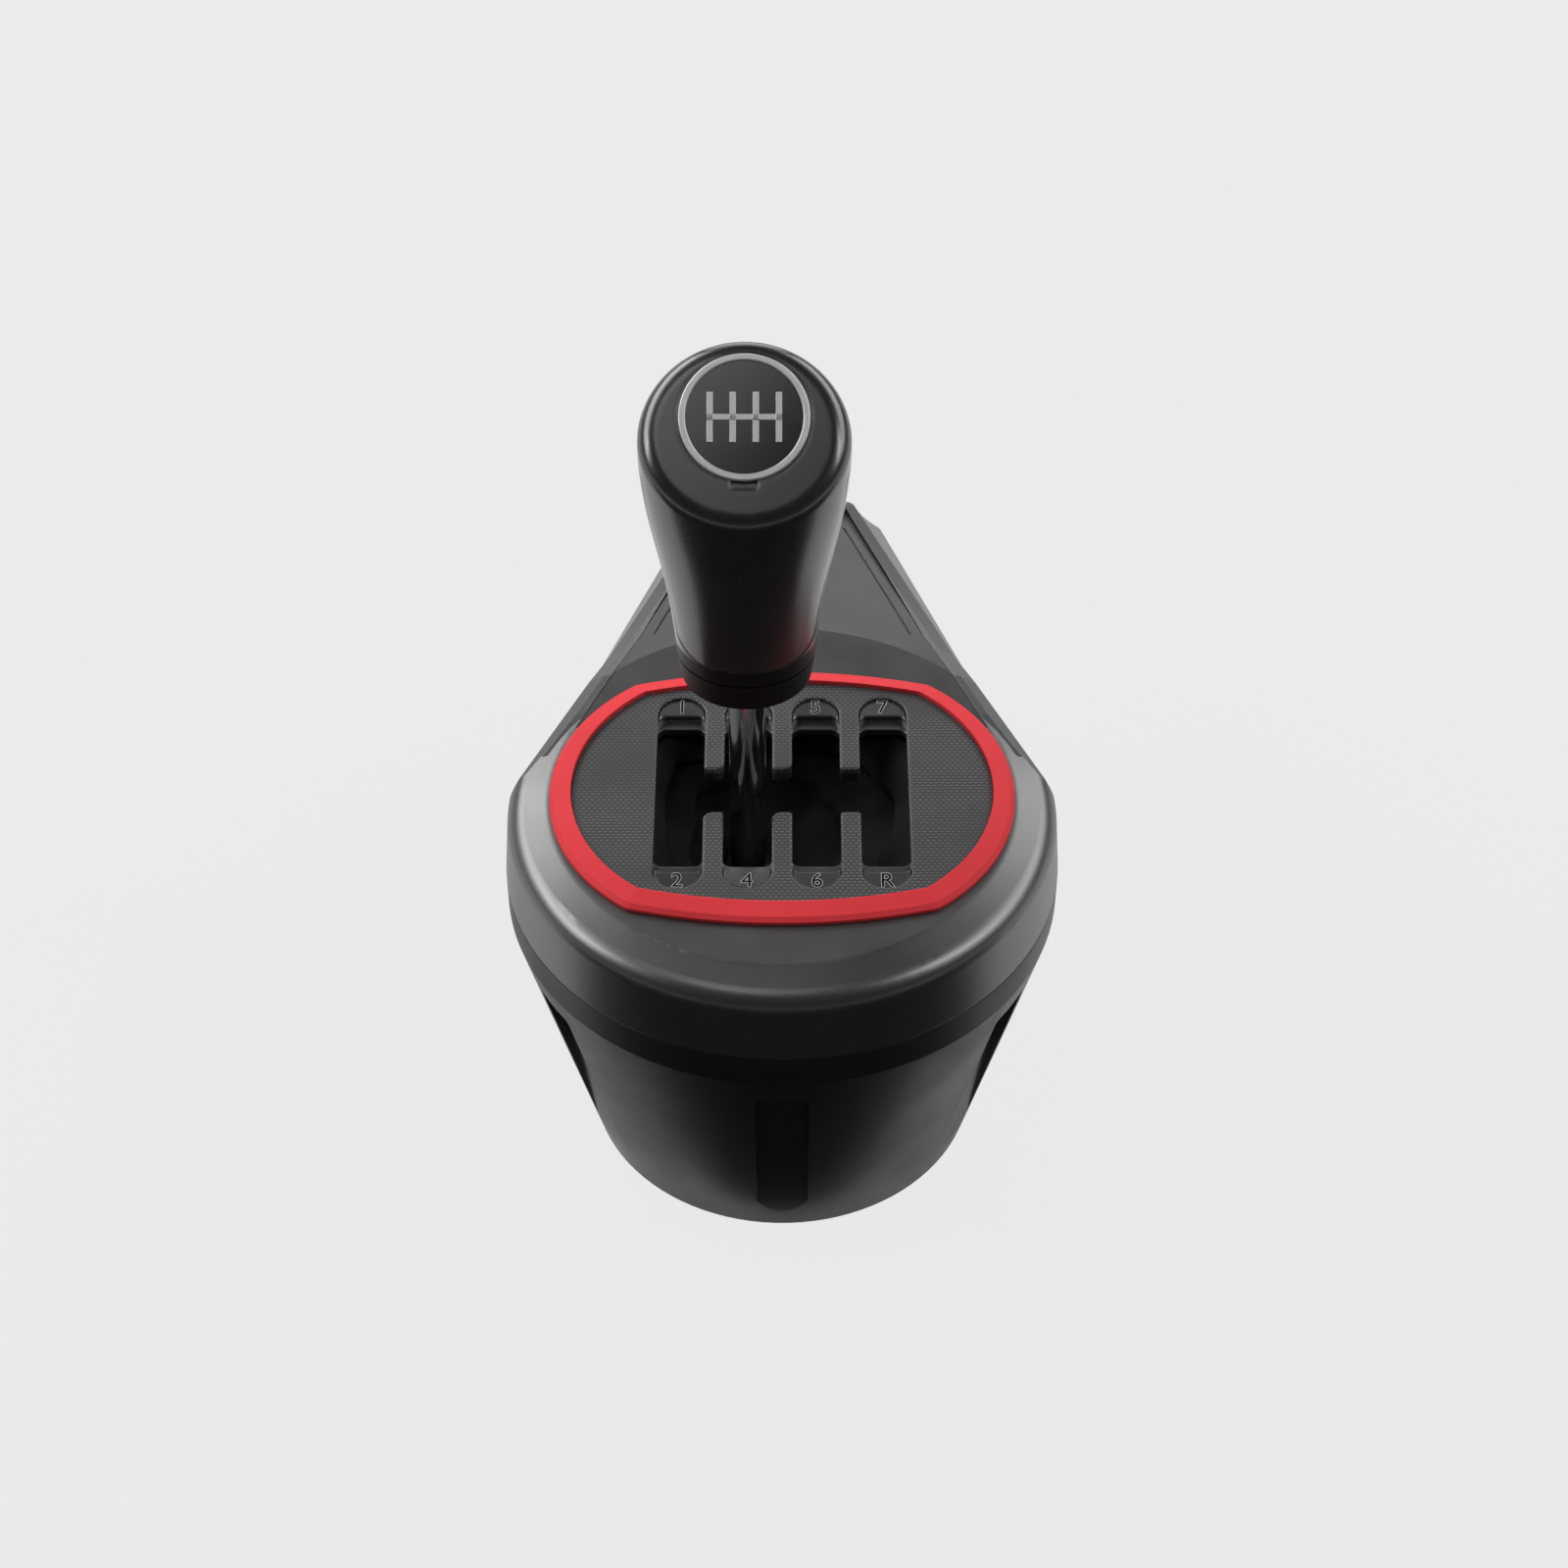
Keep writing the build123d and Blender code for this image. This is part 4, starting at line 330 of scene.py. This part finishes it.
def moulded(name, colour, roughness, specular=0.5, metallic=0.0, grain=GRAIN_SCALE, strength=0.25,
            depth=0.06 * MM, swing=0.12, gloss_swing=0.06, patch=PATCH_SCALE, edge=EDGE, ior=1.5):
    """Plain moulded or machined finish: grain in the bump, slow patches in colour and gloss."""
    material, tree, shader = start_material(name, colour, roughness, metallic, specular)
    shader.inputs["IOR"].default_value = ior
    place = tree.nodes.new("ShaderNodeTexCoord").outputs["Object"]
    grain_node = place_group(tree, GRAIN, place, Grain_Scale=grain, Patch_Scale=patch)
    spread = ramp_value(tree, grain_node.outputs["Patch"], *NOISE_SPREAD)
    tint(tree, shader, colour, spread, swing)
    gloss = ramp_value(tree, spread, 0.0, 1.0, roughness - gloss_swing, roughness + gloss_swing)
    tree.links.new(gloss, shader.inputs["Roughness"])
    bump(tree, shader, grain_node.outputs["Height"], strength, depth, edge)
    return material


def brushed(name, colour, roughness, stretch, metallic=1.0, strength=0.1, depth=0.02 * MM):
    """Metal with fine marks, drawn out along the axis whose scale is smallest."""
    material, tree, shader = start_material(name, colour, roughness, metallic, specular=0.5)
    mapping = tree.nodes.new("ShaderNodeMapping")
    mapping.inputs["Scale"].default_value = stretch
    tree.links.new(tree.nodes.new("ShaderNodeTexCoord").outputs["Object"], mapping.inputs["Vector"])
    marks = noise_node(tree, mapping.outputs["Vector"], *MARK_NOISE)
    tint(tree, shader, colour, marks, MARK_TINT)
    gloss = ramp_value(tree, marks, *NOISE_SPREAD, *[roughness * share for share in MARK_GLOSS])
    tree.links.new(gloss, shader.inputs["Roughness"])
    bump(tree, shader, marks, strength, depth, EDGE)
    return material


def gate_cover_material():
    """Dark grey cover with pressed pips, fainter in slow patches."""
    material, tree, shader = start_material(
        "gate_cover_pips", COVER_COLOUR, COVER_ROUGHNESS, metallic=0.0, specular=COVER_SPECULAR
    )
    place = tree.nodes.new("ShaderNodeTexCoord").outputs["Object"]
    weave = place_group(tree, WEAVE, place, Pitch_X=COVER_PITCH[0], Pitch_Y=COVER_PITCH[1])
    grain = place_group(tree, GRAIN, place, Grain_Scale=COVER_GRAIN, Patch_Scale=COVER_PATCH)
    fade = ramp_value(tree, grain.outputs["Patch"], *COVER_FADE)
    mask = math_node(tree, "MULTIPLY", weave.outputs["Mask"], fade)
    tint(tree, shader, COVER_COLOUR, mask, COVER_TINT)
    tree.links.new(ramp_value(tree, mask, 0.0, 1.0, *COVER_GLOSS), shader.inputs["Roughness"])
    height = math_node(tree, "MULTIPLY_ADD", grain.outputs["Height"], COVER_GRAIN_HEIGHT, mask)
    bump(tree, shader, height, *COVER_BUMP, EDGE)
    return material


def cloth_material():
    """Black woven cloth, with painted highlight on the raised threads and painted shade between them."""
    material, tree, shader = start_material(
        "boot_cloth_weave", CLOTH_COLOUR, CLOTH_ROUGHNESS, metallic=0.0, specular=CLOTH_SPECULAR
    )
    place = tree.nodes.new("ShaderNodeTexCoord").outputs["UV"]
    weave = place_group(tree, CLOTH, place, Threads=1.0)
    tint(tree, shader, CLOTH_COLOUR, weave.outputs["Shade"], CLOTH_TINT)
    bump(tree, shader, weave.outputs["Height"], *CLOTH_BUMP, EDGE)
    return material


def coated(material, weight, roughness):
    """The same material under a thin clear coat."""
    shader = material.node_tree.nodes["Principled BSDF"]
    shader.inputs["Coat Weight"].default_value = weight
    shader.inputs["Coat Roughness"].default_value = roughness
    return material


MATERIALS = {
    "housing_plastic": moulded("upper_satin", (0.006, 0.006, 0.0065), 0.36, specular=0.8,
                               strength=0.2, depth=0.08 * MM, gloss_swing=0.03, ior=1.9),
    "panel_plastic": moulded("tail_panel_satin", (0.042, 0.042, 0.043), 0.36, strength=0.12,
                             patch=60.0, swing=0.1),
    "red_trim": moulded("trim_red", (0.8, 0.055, 0.066), 0.48, specular=0.06, grain=1600.0,
                        strength=0.08, swing=0.05, gloss_swing=0.04),
    "gate_cover": gate_cover_material(),
    "gate_plastic": moulded("gate_insert_satin", (0.018, 0.018, 0.019), 0.27, specular=0.8,
                            strength=0.06, swing=0.1, edge=0.35 * MM, ior=1.7),
    "steel": brushed("ground_steel", (0.55, 0.55, 0.56), 0.3, (900.0, 900.0, 90.0)),
    "screw_steel": brushed("blackened_steel", (0.12, 0.12, 0.125), 0.35, (600.0, 600.0, 600.0)),
    "boot_cloth": cloth_material(),
    "inner_plastic": moulded("inner_black", (0.02, 0.02, 0.021), 0.5),
    "rubber": moulded("foot_rubber", (0.015, 0.015, 0.015), 0.8, specular=0.25, strength=0.4),
    "bush_brass": brushed("bush_brass_turned", (0.72, 0.52, 0.25), 0.25, (500.0, 500.0, 500.0)),
    "bearing_plastic": moulded("bearing_white", (0.6, 0.59, 0.55), 0.45),
    "chip": moulded("chip_black", (0.02, 0.02, 0.02), 0.4),
    "board_laminate": moulded("board_green", (0.02, 0.16, 0.06), 0.3),
    "socket_plastic": moulded("socket_black", (0.02, 0.02, 0.02), 0.35),
    "clamp_steel": moulded("clamp_powder_coat", (0.03, 0.03, 0.032), 0.45, grain=1500.0,
                           strength=0.5, depth=0.12 * MM),
    "cast_aluminium": moulded("cast_metal", (0.55, 0.55, 0.56), 0.4, metallic=1.0, grain=1200.0),
    "rod_chrome": brushed("rod_chromed", (0.72, 0.72, 0.73), 0.09, (300.0, 300.0, 30.0),
                          strength=0.03),
    "knob_plastic": coated(
        moulded("knob_satin", (0.008, 0.008, 0.009), 0.27, specular=1.0, grain=3000.0,
                strength=0.08, gloss_swing=0.02, edge=1.8 * MM, ior=1.45),
        weight=0.6, roughness=0.18,
    ),
    "bezel_silver": brushed("bezel_satin_silver", (0.6, 0.6, 0.61), 0.42, (200.0, 200.0, 200.0),
                            metallic=0.6, strength=0.03),
    "cap_gloss": moulded("cap_black", (0.004, 0.004, 0.005), 0.14, specular=0.8, grain=500.0,
                         strength=0.008, swing=0.1, gloss_swing=0.02),
    "wheel_plastic": moulded("wheel_black", (0.02, 0.02, 0.022), 0.45),
}
# Nodes whose material differs a little from that of the others in their slot
OWN_MATERIALS = {
    # Painted shade: less reflection on the lower housing, for the shaded floor under the overhang
    "lower_housing": moulded("lower_satin_shaded_reflections", (0.007, 0.007, 0.0075), 0.42, specular=0.35,
                             strength=0.15),
    "knob_collar": moulded("collar_satin", (0.006, 0.006, 0.0065), 0.4, specular=0.2,
                           strength=0.08),
}

for part in frame["record"]["subparts"]:
    node = frame["nodes"][part["node"]]
    node.data.materials.clear()
    node.data.materials.append(OWN_MATERIALS.get(part["node"], MATERIALS[part["material_slot"]]))


# Boot: two grids of cloth, one from the frame to the gimbal and one on to the lever

BOOT_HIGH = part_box("boot")[1].z
BOOT_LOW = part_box("boot")[0].z
# Down the boot: share of the height, half width and half depth in millimetres, and how far the
# middle moves sideways as a share of the lever's place
BOOT_SHARES = (0.0, 0.2, 0.32, 0.52, 0.64, 0.83, 1.0)
BOOT_HALF_X = (38.5, 30.5, 32.0, 20.5, 22.0, 10.5, 6.8)
BOOT_HALF_Y = (33.0, 27.5, 28.5, 24.5, 23.0, 9.5, 6.8)
BOOT_SHIFTS = (0.0, 0.15, 0.25, 0.5, 0.6, 0.9, 1.0)
BOOT_JOIN = 0.58
CLOTH_THICK = 0.7 * MM
# Power that squares the boot's outline at its top, and what it gains downwards, towards the 1 of an oval
BOOT_SQUARE = 0.55
BOOT_ROUNDING = 0.35
# Waves round the boot: count, turn of phase down the boot, phase, and height in millimetres
BOOT_WAVES = (
    (5, 2.0, 0.6, 1.08),
    (8, -3.0, 2.0, 0.72),
    (13, 5.0, 0.0, 0.35),
    (21, -4.0, 1.0, 0.2),
)
# How fast the waves grow from the boot's two held ends
BOOT_FREE_POWER = 0.6
# Rise and fall round the boot: count, turn of phase down the boot, and height
BOOT_SAG = (5, 8, 0.8 * MM)
# Points round the boot, and rows of them down its outer and its inner piece
BOOT_COLUMNS = 240
OUTER_ROWS = 34
INNER_ROWS = 26
# Threads round the boot and down it
BOOT_THREADS = (320, 90)


def boot_points(shares, turns):
    """Rounded rectangles that shrink down the boot, with folds that wave round it and grow inside.

    A point is centre + (half width * cos, half depth * sin) with both powered to square the
    outline, plus an outward wave of several folds whose phase turns slowly with the height."""
    s, t = np.meshgrid(shares, turns, indexing="ij")
    half_x = np.interp(s, BOOT_SHARES, BOOT_HALF_X) * MM
    half_y = np.interp(s, BOOT_SHARES, BOOT_HALF_Y) * MM
    shift = np.interp(s, BOOT_SHARES, BOOT_SHIFTS) * lever_x
    square = BOOT_SQUARE + BOOT_ROUNDING * s
    cos, sin = np.cos(t), np.sin(t)
    x = np.sign(cos) * np.abs(cos) ** square
    y = np.sign(sin) * np.abs(sin) ** square
    free = np.sin(np.pi * np.clip(s, 0, 1)) ** BOOT_FREE_POWER
    wave = free * MM * sum(
        height * np.sin(count * t + turn * s + phase) for count, turn, phase, height in BOOT_WAVES
    )
    sag_count, sag_turn, sag = BOOT_SAG
    z = BOOT_HIGH - s * (BOOT_HIGH - BOOT_LOW) + free * sag * np.sin(sag_count * t + sag_turn * s)
    return np.stack([shift + (half_x + wave) * x, (half_y + wave) * y, z], -1)


def boot_piece(name, low_share, high_share, rows):
    """Cloth grid between two shares of the boot's height, with a UV map in threads."""
    columns = BOOT_COLUMNS
    turns = np.linspace(0, 2 * np.pi, columns, endpoint=False)
    shares = np.linspace(low_share, high_share, rows)
    points = boot_points(shares, turns)
    piece = obj_from_mesh(name, points, grid_faces(rows, columns, closed=True)[:, ::-1])
    uv = piece.data.uv_layers.new(name="threads")
    loops = np.zeros(len(piece.data.loops), int)
    piece.data.loops.foreach_get("vertex_index", loops)
    row, column = loops // columns, loops % columns
    wrap = (column == 0) & (np.arange(len(loops)) // 4 % columns == columns - 1)
    column = np.where(wrap, columns, column)
    threads_round, threads_down = BOOT_THREADS
    threads = np.stack([column * threads_round / columns, shares[row] * threads_down], -1)
    uv.data.foreach_set("uv", threads.astype(np.float32).ravel())
    solid = piece.modifiers.new("thickness", "SOLIDIFY")
    solid.thickness = CLOTH_THICK
    solid.offset = -1.0
    piece.data.materials.append(MATERIALS["boot_cloth"])
    return piece


outer_boot = boot_piece("boot_outer_cloth", 0.0, BOOT_JOIN, OUTER_ROWS)
inner_boot = boot_piece("boot_inner_cloth", BOOT_JOIN, 1.0, INNER_ROWS)
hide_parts("boot")
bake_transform(outer_boot)
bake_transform(inner_boot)


# Gear numbers on the pads, and the gate diagram on the knob's cap

CURVE_STEPS = 6
DIGIT_SIZE = 7.3 * MM
DIGIT_WIDTH = 0.86
# The rim round each number is a painted highlight, for the lit edges of its engraved strokes
# Rim and number: how far each grows past the font's own outline, and how high it stands
HIGHLIGHT_RIM_GROW = 0.19 * MM
HIGHLIGHT_RIM_HEIGHT = 0.03 * MM
NUMBER_GROW = 0.0
NUMBER_HEIGHT = 0.05 * MM
# Gate diagram: pitch and half length of its uprights, and half width and height of its bars
DIAGRAM_PITCH = 5.6 * MM
DIAGRAM_HALF_TALL = 6.35 * MM
DIAGRAM_HALF_WIDE = 0.75 * MM
DIAGRAM_HEIGHT = 0.2 * MM


def text_mesh(name, body, size, height, grow, place, material):
    """Raised character as a mesh, its strokes grown outwards, facing along the place's Z."""
    curve = bpy.data.curves.new(name, "FONT")
    curve.body = body
    curve.size = size
    curve.align_x = "CENTER"
    curve.align_y = "CENTER"
    curve.extrude = height
    curve.offset = grow
    curve.resolution_u = CURVE_STEPS
    writing = bpy.data.objects.new(name + "_curve", curve)
    bpy.context.scene.collection.objects.link(writing)
    bpy.context.view_layer.update()
    evaluated = writing.evaluated_get(bpy.context.evaluated_depsgraph_get())
    mesh = bpy.data.meshes.new_from_object(evaluated)
    bpy.data.objects.remove(writing)
    mesh.transform(place)
    mesh.name = name
    mesh.materials.clear()
    mesh.materials.append(material)
    piece = bpy.data.objects.new(name, mesh)
    bpy.context.scene.collection.objects.link(piece)
    return piece


# The numbers are real marks; their near black is painted shade, as inside engraved strokes
digit_shade_material = moulded("digit_engraving_shade", (0.003, 0.003, 0.003), 0.5, specular=0.05, strength=0.02)
# Painted highlight: a light rim round each number, where the engraving's edges would catch light
digit_highlight_material = moulded("digit_painted_highlight", (0.5, 0.5, 0.505), 0.35, specular=0.5, strength=0.02)
digit_layers = (
    ("gear_highlight_rim_", digit_highlight_material, HIGHLIGHT_RIM_GROW, HIGHLIGHT_RIM_HEIGHT),
    ("gear_number_", digit_shade_material, NUMBER_GROW, NUMBER_HEIGHT),
)
narrow = Matrix.Diagonal((DIGIT_WIDTH, 1.0, 1.0, 1.0))
for row_sign, characters in ((1, "1357"), (-1, "246R")):
    for place_number, character in enumerate(characters):
        x = (place_number - 1.5) * column_pitch
        spot = Matrix.Translation((x, row_sign * digit_y, pad_z)) @ narrow
        for label, material, grow, height in digit_layers:
            digit = text_mesh(label + character, character, DIGIT_SIZE, height, grow, spot,
                              material)
            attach(digit, "root")


def raised_bars(bars, height):
    """Upright boxes on the XY plane, one for each row of centre x, centre y, half x and half y.

    A corner is the centre plus or minus the half sizes, at no height and at the full height."""
    signs = np.array([(-1, -1), (1, -1), (1, 1), (-1, 1)])
    ring = bars[:, None, :2] + signs * bars[:, None, 2:]
    levels = [np.dstack([ring, np.full(ring.shape[:2], z)]) for z in (0.0, height)]
    sides = [(k, (k + 1) % 4, (k + 1) % 4 + 4, k + 4) for k in range(4)]
    quads = np.array([(3, 2, 1, 0), (4, 5, 6, 7), *sides])
    faces = quads + 8 * np.arange(len(bars))[:, None, None]
    return np.concatenate(levels, axis=1), faces.reshape(-1, 4)


def gate_diagram():
    """Generic gate diagram: four uprights joined by a cross bar, in the cap's plane."""
    uprights = [
        ((i - 1.5) * DIAGRAM_PITCH, 0.0, DIAGRAM_HALF_WIDE, DIAGRAM_HALF_TALL) for i in range(4)
    ]
    cross_bar = (0.0, 0.0, 1.5 * DIAGRAM_PITCH + DIAGRAM_HALF_WIDE, DIAGRAM_HALF_WIDE)
    verts, faces = raised_bars(np.array([*uprights, cross_bar]), DIAGRAM_HEIGHT)
    piece = obj_from_mesh("cap_gate_diagram", verts, faces, smooth=False)
    lean = Matrix.Rotation(face_tilt, 4, "X")
    centre = Vector((lever_x, 0, face_z)) + lean @ Vector((0, cap_shift, -cap_sink))
    piece.data.transform(Matrix.Translation(centre) @ lean)
    piece.data.materials.append(MATERIALS["bezel_silver"])
    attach(piece, "lever")


gate_diagram()


# Floor, lamps and camera

FLOOR_HALF = 14.0
FLOOR_PAINT = 0.8
FLOOR_GLOW = 0.83
# Share of even glow in the floor that camera, gloss and glass rays see; the rest is lit paint
FLOOR_GLOW_SHARE = 0.96
# Painted shade in reflections: the card is seen by gloss rays alone, for a dark, shaded floor in front
# Dark card: half width, its edges near the object and away from it, height over the floor and tone
CARD_HALF = 0.9
CARD_NEAR = -0.058
CARD_FAR = -1.6
CARD_HIGH = 0.003
CARD_TONE = 0.03
WORLD_STRENGTH = 0.06
CLIP_END = 50.0


def flat_sheet(name, x_low, x_high, y_low, y_high, z):
    """Level rectangle that faces up."""
    corners = [(x_low, y_low, z), (x_high, y_low, z), (x_high, y_high, z), (x_low, y_high, z)]
    return obj_from_mesh(name, corners, [(0, 1, 2, 3)], smooth=False)


def floor_and_backdrop():
    """Large pale floor whose colour makes the background, with a small share of real shading."""
    floor = flat_sheet("floor", -FLOOR_HALF, FLOOR_HALF, -FLOOR_HALF, FLOOR_HALF, 0.0)
    material = bpy.data.materials.new("floor_pale")
    material.use_nodes = True
    tree = material.node_tree
    tree.nodes.clear()
    paint = tree.nodes.new("ShaderNodeBsdfDiffuse")
    paint.inputs["Color"].default_value = (FLOOR_PAINT, FLOOR_PAINT, FLOOR_PAINT, 1.0)
    glow = tree.nodes.new("ShaderNodeEmission")
    glow.inputs["Color"].default_value = (FLOOR_GLOW, FLOOR_GLOW, FLOOR_GLOW, 1.0)
    glow.inputs["Strength"].default_value = 1.0
    share = tree.nodes.new("ShaderNodeMixShader")
    path = tree.nodes.new("ShaderNodeLightPath")
    mirrored = math_node(
        tree, "MAXIMUM", path.outputs["Is Glossy Ray"], path.outputs["Is Transmission Ray"]
    )
    seen = math_node(tree, "MAXIMUM", path.outputs["Is Camera Ray"], mirrored)
    tree.links.new(math_node(tree, "MULTIPLY", seen, FLOOR_GLOW_SHARE), share.inputs[0])
    tree.links.new(paint.outputs[0], share.inputs[1])
    tree.links.new(glow.outputs[0], share.inputs[2])
    out = tree.nodes.new("ShaderNodeOutputMaterial")
    tree.links.new(share.outputs[0], out.inputs["Surface"])
    floor.data.materials.append(material)


def softbox(name, place, aim, width, height, radiance, turn):
    """Rectangular lamp of even radiance, aimed at a point and turned about its own axis."""
    lamp = bpy.data.lights.new(name, "AREA")
    lamp.shape = "RECTANGLE"
    lamp.size = width
    lamp.size_y = height
    lamp.energy = radiance * math.pi * width * height
    obj = bpy.data.objects.new(name, lamp)
    bpy.context.scene.collection.objects.link(obj)
    obj.location = place
    aimed = (Vector(aim) - Vector(place)).to_track_quat("-Z", "Y").to_matrix()
    obj.rotation_euler = (aimed @ Matrix.Rotation(math.radians(turn), 3, "Z")).to_euler()


def reflected_shade_card():
    """Dark card on the floor in front of the object, seen only in its reflections, as painted shade."""
    card = flat_sheet("reflected_shade_card", -CARD_HALF, CARD_HALF, CARD_FAR, CARD_NEAR, CARD_HIGH)
    tone = (CARD_TONE, CARD_TONE, CARD_TONE)
    material = start_material("card_reflected_shade", tone, roughness=0.9, metallic=0.0, specular=0.0)[0]
    card.data.materials.append(material)
    card.visible_camera = False
    card.visible_diffuse = False
    card.visible_shadow = False
    card.visible_transmission = False


floor_and_backdrop()
reflected_shade_card()
AIM = (0.0, 0.0, 0.1)
KNOB_AIM = (lever_x, 0.0, 0.235)
# Lamps: name, place, aim, width, height, radiance and turn about the lamp's own axis
LAMPS = (
    ("left_softbox", (-1.19, 0.67, 1.12), AIM, 2.2, 0.72, 4.9, 0.0),
    ("right_softbox", (1.19, 0.67, 1.12), AIM, 2.2, 0.72, 3.2, 0.0),
    ("left_strip", (-1.3, -0.23, 0.94), KNOB_AIM, 0.2, 0.6, 6.5, 0.0),
    ("right_strip", (1.08, -0.355, 1.2), KNOB_AIM, 0.2, 0.7, 8.0, 0.0),
    ("rear_softbox", (0.0, 1.76, 0.76), AIM, 0.9, 0.9, 1.7, 0.0),
    ("top_softbox", (-0.24, -0.22, 1.6), (-0.24, -0.22, 0.0), 0.6, 0.6, 1.6, 45.0),
)
for lamp_values in LAMPS:
    softbox(*lamp_values)

world = bpy.data.worlds.new("studio")
bpy.context.scene.world = world
world.use_nodes = True
background = world.node_tree.nodes["Background"]
background.inputs["Color"].default_value = (1.0, 1.0, 1.0, 1.0)
background.inputs["Strength"].default_value = WORLD_STRENGTH

camera_data = bpy.data.cameras.new("camera")
camera_data.sensor_fit = "HORIZONTAL"
camera_data.sensor_width = CAMERA_SENSOR
camera_data.lens = CAMERA_LENS
camera_data.clip_end = CLIP_END
camera = bpy.data.objects.new("camera", camera_data)
bpy.context.scene.collection.objects.link(camera)
camera.location = CAMERA_PLACE
camera.rotation_euler = Euler((math.radians(90 - CAMERA_DOWN), 0, 0))
bpy.context.scene.camera = camera
bpy.context.scene.view_settings.view_transform = "Standard"
